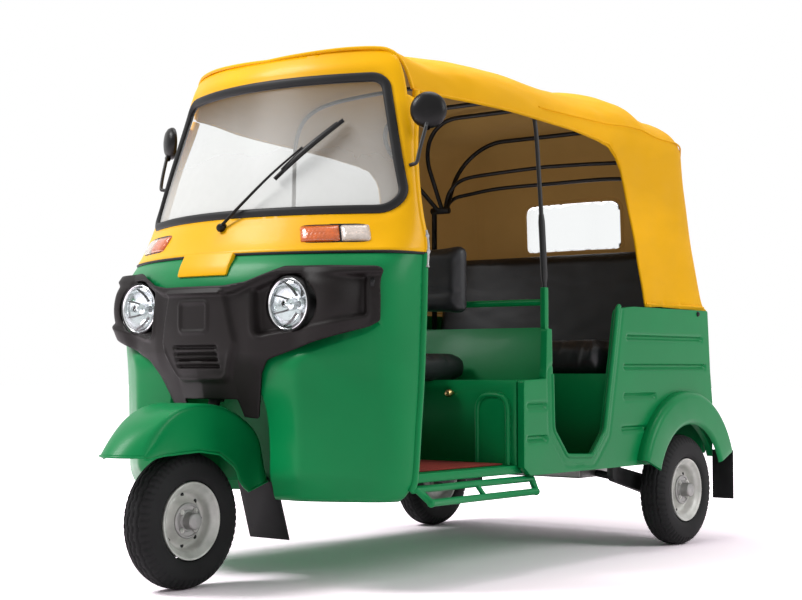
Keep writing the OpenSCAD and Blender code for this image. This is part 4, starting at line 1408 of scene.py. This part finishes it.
def sew(obj, centre, turn, axis, lines, depth):
    """Press sewn channels into a pad and add the creases that run out from them."""
    back = turn.transposed()
    for v in obj.data.vertices:
        world = Vector((v.co.x / MM, v.co.y / MM, v.co.z / MM)) + Vector((0, MIDDLE, 0))
        p = back @ (world - centre)
        if axis == "x" and p.y < 0:
            gather = 9 * smooth(abs(p.x), 330, 480) * noise.noise(Vector((p.x * 0.045, p.z * 0.02, 2.3)))
            v.co += turn @ Vector((0, gather, 0)) * MM
        face = p.z if axis != "face_y" else -p.y
        if face < 0:
            continue
        dip = 0.0
        across = p.y if axis == "y" else p.z if axis == "face_y" else p.x
        for line in lines:
            dip += depth * math.exp(-((across - line) / 7) ** 2)
        dip += 1.6 * noise.noise(Vector((p.x * 0.012, p.y * 0.03, p.z * 0.03 + 5)))
        if axis == "x":
            dip += 7 * smooth(abs(p.x), 380, 470) * noise.noise(Vector((p.x * 0.05, p.y * 0.02, 1.7)))
        move = turn @ Vector((0, 0, -dip) if axis != "face_y" else (0, dip, 0))
        v.co += move * MM


pad("passenger_cushion", (0, 1712, 697.5), (1110, 448, 115), 34, 0, "passenger_seat", 14,
    ("x", [-370, 0, 370], 7))
pad("passenger_back", (0, 2037, 893), (1110, 100, 486), 34, -6, "passenger_backrest", 14,
    ("face_y", [], 0))
pad("driver_cushion", (0, 894, 662.5), (580, 408, 85), 28, 0, "driver_seat", 12, ("y", [-70, 90], 5))
pad("driver_back", (0, 1069, 965), (580, 74, 250), 28, 0, "driver_backrest", 10, ("face_y", [-45], 6))


# Side panels: pressed skins with sunk ribs and a rolled edge round the doorway

SIDE_X, SIDE_T, ARCH_R = 608, 24, 262
ARCH = [(WHEELBASE + ARCH_R * math.cos(a), TYRE_R + ARCH_R * math.sin(a), 0)
        for a in (math.radians(155.9 - 130.2 * k / 24) for k in range(25))]
# The doorway's lower corners, from its rear edge to its front one
CORNERS = [(1496, 693, 60), (1439, 438, 60), (1355, 358, 34), (1194, 365, 34), (1110, 456, 50)]
SIDE = fillet([(933, 340, 8), (972, 312, 12), *ARCH, (2241, 528, 20), (2224, 643, 20), (2206, 880, 10),
               (1640, 880, 30), (1533, 870, 34), *CORNERS, (1104, 640, 20), (1100, 790, 8), (1070, 790, 8),
               (1064, 624, 8), (933, 620, 10)])
DOORWAY = [(1533, 870), *(corner[:2] for corner in CORNERS), (1104, 640)]
# Ribs: height, first and last station
RIBS = [(768, 1586, 2165), (662, 1564, 2190), (556, 1562, 1800), (443, 1547, 1730), (535, 948, 1074),
        (428, 948, 1074)]


def side_inset(y, z):
    """How far a place on the side panel lies inside the plane of the panel."""
    inset = 2.5 * math.exp(-((to_line((y, z), DOORWAY) - 30) / 4) ** 2)
    for height, first, last in RIBS:
        ends = smooth(y, first, first + 14) * smooth(-y, -last, 14 - last)
        inset += 11 * ends * smooth(13 - z + height, 0, 6) * smooth(z - height + 14, 0, 15)
    return inset


flat, faces = flat_patch(SIDE, [], 7.5)
insets = [side_inset(y, z) for y, z in flat]
bead = fillet([(1546, 880, 0), (1533, 870, 14), *CORNERS, (1104, 640, 0)])
beads = []
for side, name in ((1, "left"), (-1, "right")):
    points = [Vector((side * (SIDE_X - d), y, z)) for d, (y, z) in zip(insets, flat)]
    skin = piece(name + "_side_skin", *facing(points, faces, sideways(side)), GREEN, "green_paint",
                 stands_for=["side_panel_" + name])
    modify(skin, "SOLIDIFY", thickness=SIDE_T * MM, offset=-1)
    bevel(skin, 3, 2, 50)
    beads.append(tube(resample([(side * (SIDE_X - 5), y, z) for y, z in bead], 12, closed=False), 9))
piece("doorway_beads", *join(beads), GREEN, "green_paint")


# Posts of the hood with their sleeves, and the rail behind the front seat with its stubs

POST = [(574, 1111, 800), (573, 1111, 928), (566, 1110, 1100), (556, 1107, 1300), (546, 1102, 1470),
        (528, 1099, 1545), (482, 1098, 1606), (380, 1097, 1642), (200, 1096, 1656), (0, 1096, 1659)]
half = spline(POST)
posts = [tube(hoop(half), 7.5)]
for side in (-1, 1):
    sleeve = [Vector((side * p.x, p.y, p.z)) for p in half if 930 < p.z < 1196]
    posts.append(tube(sleeve, [9] + [11.5] * (len(sleeve) - 2) + [9]))
piece("post_hoop", *join(posts), BLACK, "black_metal", stands_for=["hood_posts"])
rail = [tube([Vector((x, 1111, 880)) for x in (-572, 0, 572)], 11, 14)]
rail += [block((side * 574, 1108, 860), (20, 24, 140), 4) for side in (-1, 1)]
piece("rail_set", *join(rail), GREEN, "green_paint", stands_for=["guard_rail"])

# Floor mats with a rolled rim
mats = [block((0, (y0 + y1) / 2, 349), (2 * half, y1 - y0, 6), 2.5)
        for y0, y1, half in ((440, 918, 535), (975, 1470, 545))]
piece("floor_mats", *join(mats), MAT, "gasket_rubber")

# Small fittings: a catch on each door edge, a stud on each quarter and a knob under the front seat
catches, studs = [], []
for side in (-1, 1):
    path = [front(side * SPAN, z, 8) + Vector((0, 6, 0)) for z in range(962, 1078, 8)]
    catches.append(tube(path, [5 if k % 6 else 8 for k in range(len(path))], 10))
    button = [(0.5, 9), (6, 8.5), (10, 4), (11, -2)]
    studs.append(turned(button, side, (side * 606, 2126, 866), 20, sideways(side)))
piece("door_catches", *join(catches), STEEL, "lamp_chrome")
piece("hood_studs", *join(studs), GLOSS, "black_plastic")
knob = lathe([(0.5, -26), (9, -24), (13, -16), (13, -8), (6, 0), (5, 14)], (325, 921, 577), "y", 24)
piece("seat_knob", *knob, BRASS, "lamp_chrome")

# Two low bows along the back of the hood, from the same pivots as the others
low = []
for middle_y, middle_z, side_y, side_z in ((2000, 1470, 1990, 1452), (2060, 1408, 2045, 1396)):
    path = [(466, 1948, 1321), (456, (1948 + side_y) / 2, (1321 + side_z) / 2 + 12),
            (400, side_y, side_z - 4), (250, side_y + 6, side_z + 10), (0, middle_y, middle_z)]
    low.append(tube(hoop(spline(path)), 8))
piece("low_bows", *join(low), BLACK, "black_metal")

# Raised rim of the arch pressed into each end of the panel under the front seat
arches = []
for side in (-1, 1):
    path = fillet([(430, 347, 0), (430, 572, 52), (550, 572, 52), (550, 347, 0)])
    arches.append(tube(resample([(side * x, 924, z) for x, z in path], 10, closed=False), 9))
piece("arch_rims", *join(arches), GREEN, "green_paint")


# Every carried-over CAD node gets its finish; edges are softened by the given millimetres

CARRIED = {
    "floor_pan": (GREEN, 3), "dashboard": (PLASTIC, 4), "wheel_well": (GREEN, 2), "steering_head": (BLACK, 2),
    "bulkhead": (GREEN, 6), "rear_panel": (GREEN, 4), "rear_fenders": (GREEN, 3), "engine": (STEEL, 8),
    "seat_box": (GREEN, 5), "hood_bows": (BLACK, 0), "steps": (GREEN, 0), "rear_mudflaps": (GASKET, 2),
    "rear_arms": (BLACK, 2), "tail_lamps": (RED, 4), "rear_bumper": (BLACK, 2), "tow_eye": (BLACK, 2),
    "engine_door": (GREEN, 3), "steering_column": (BLACK, 2), "handlebar": (BLACK, 2),
    "front_mudflap": (GASKET, 2),
}
for name, (finish, soft) in CARRIED.items():
    obj = nodes[name]
    obj.data.materials.clear()
    obj.data.materials.append(finish)
    obj.data.shade_smooth()
    modify(obj, "WELD", merge_threshold=0.00005)
    obj.data.set_sharp_from_angle(angle=math.radians(32))
    if soft:
        bevel(obj, soft, 3, 34)
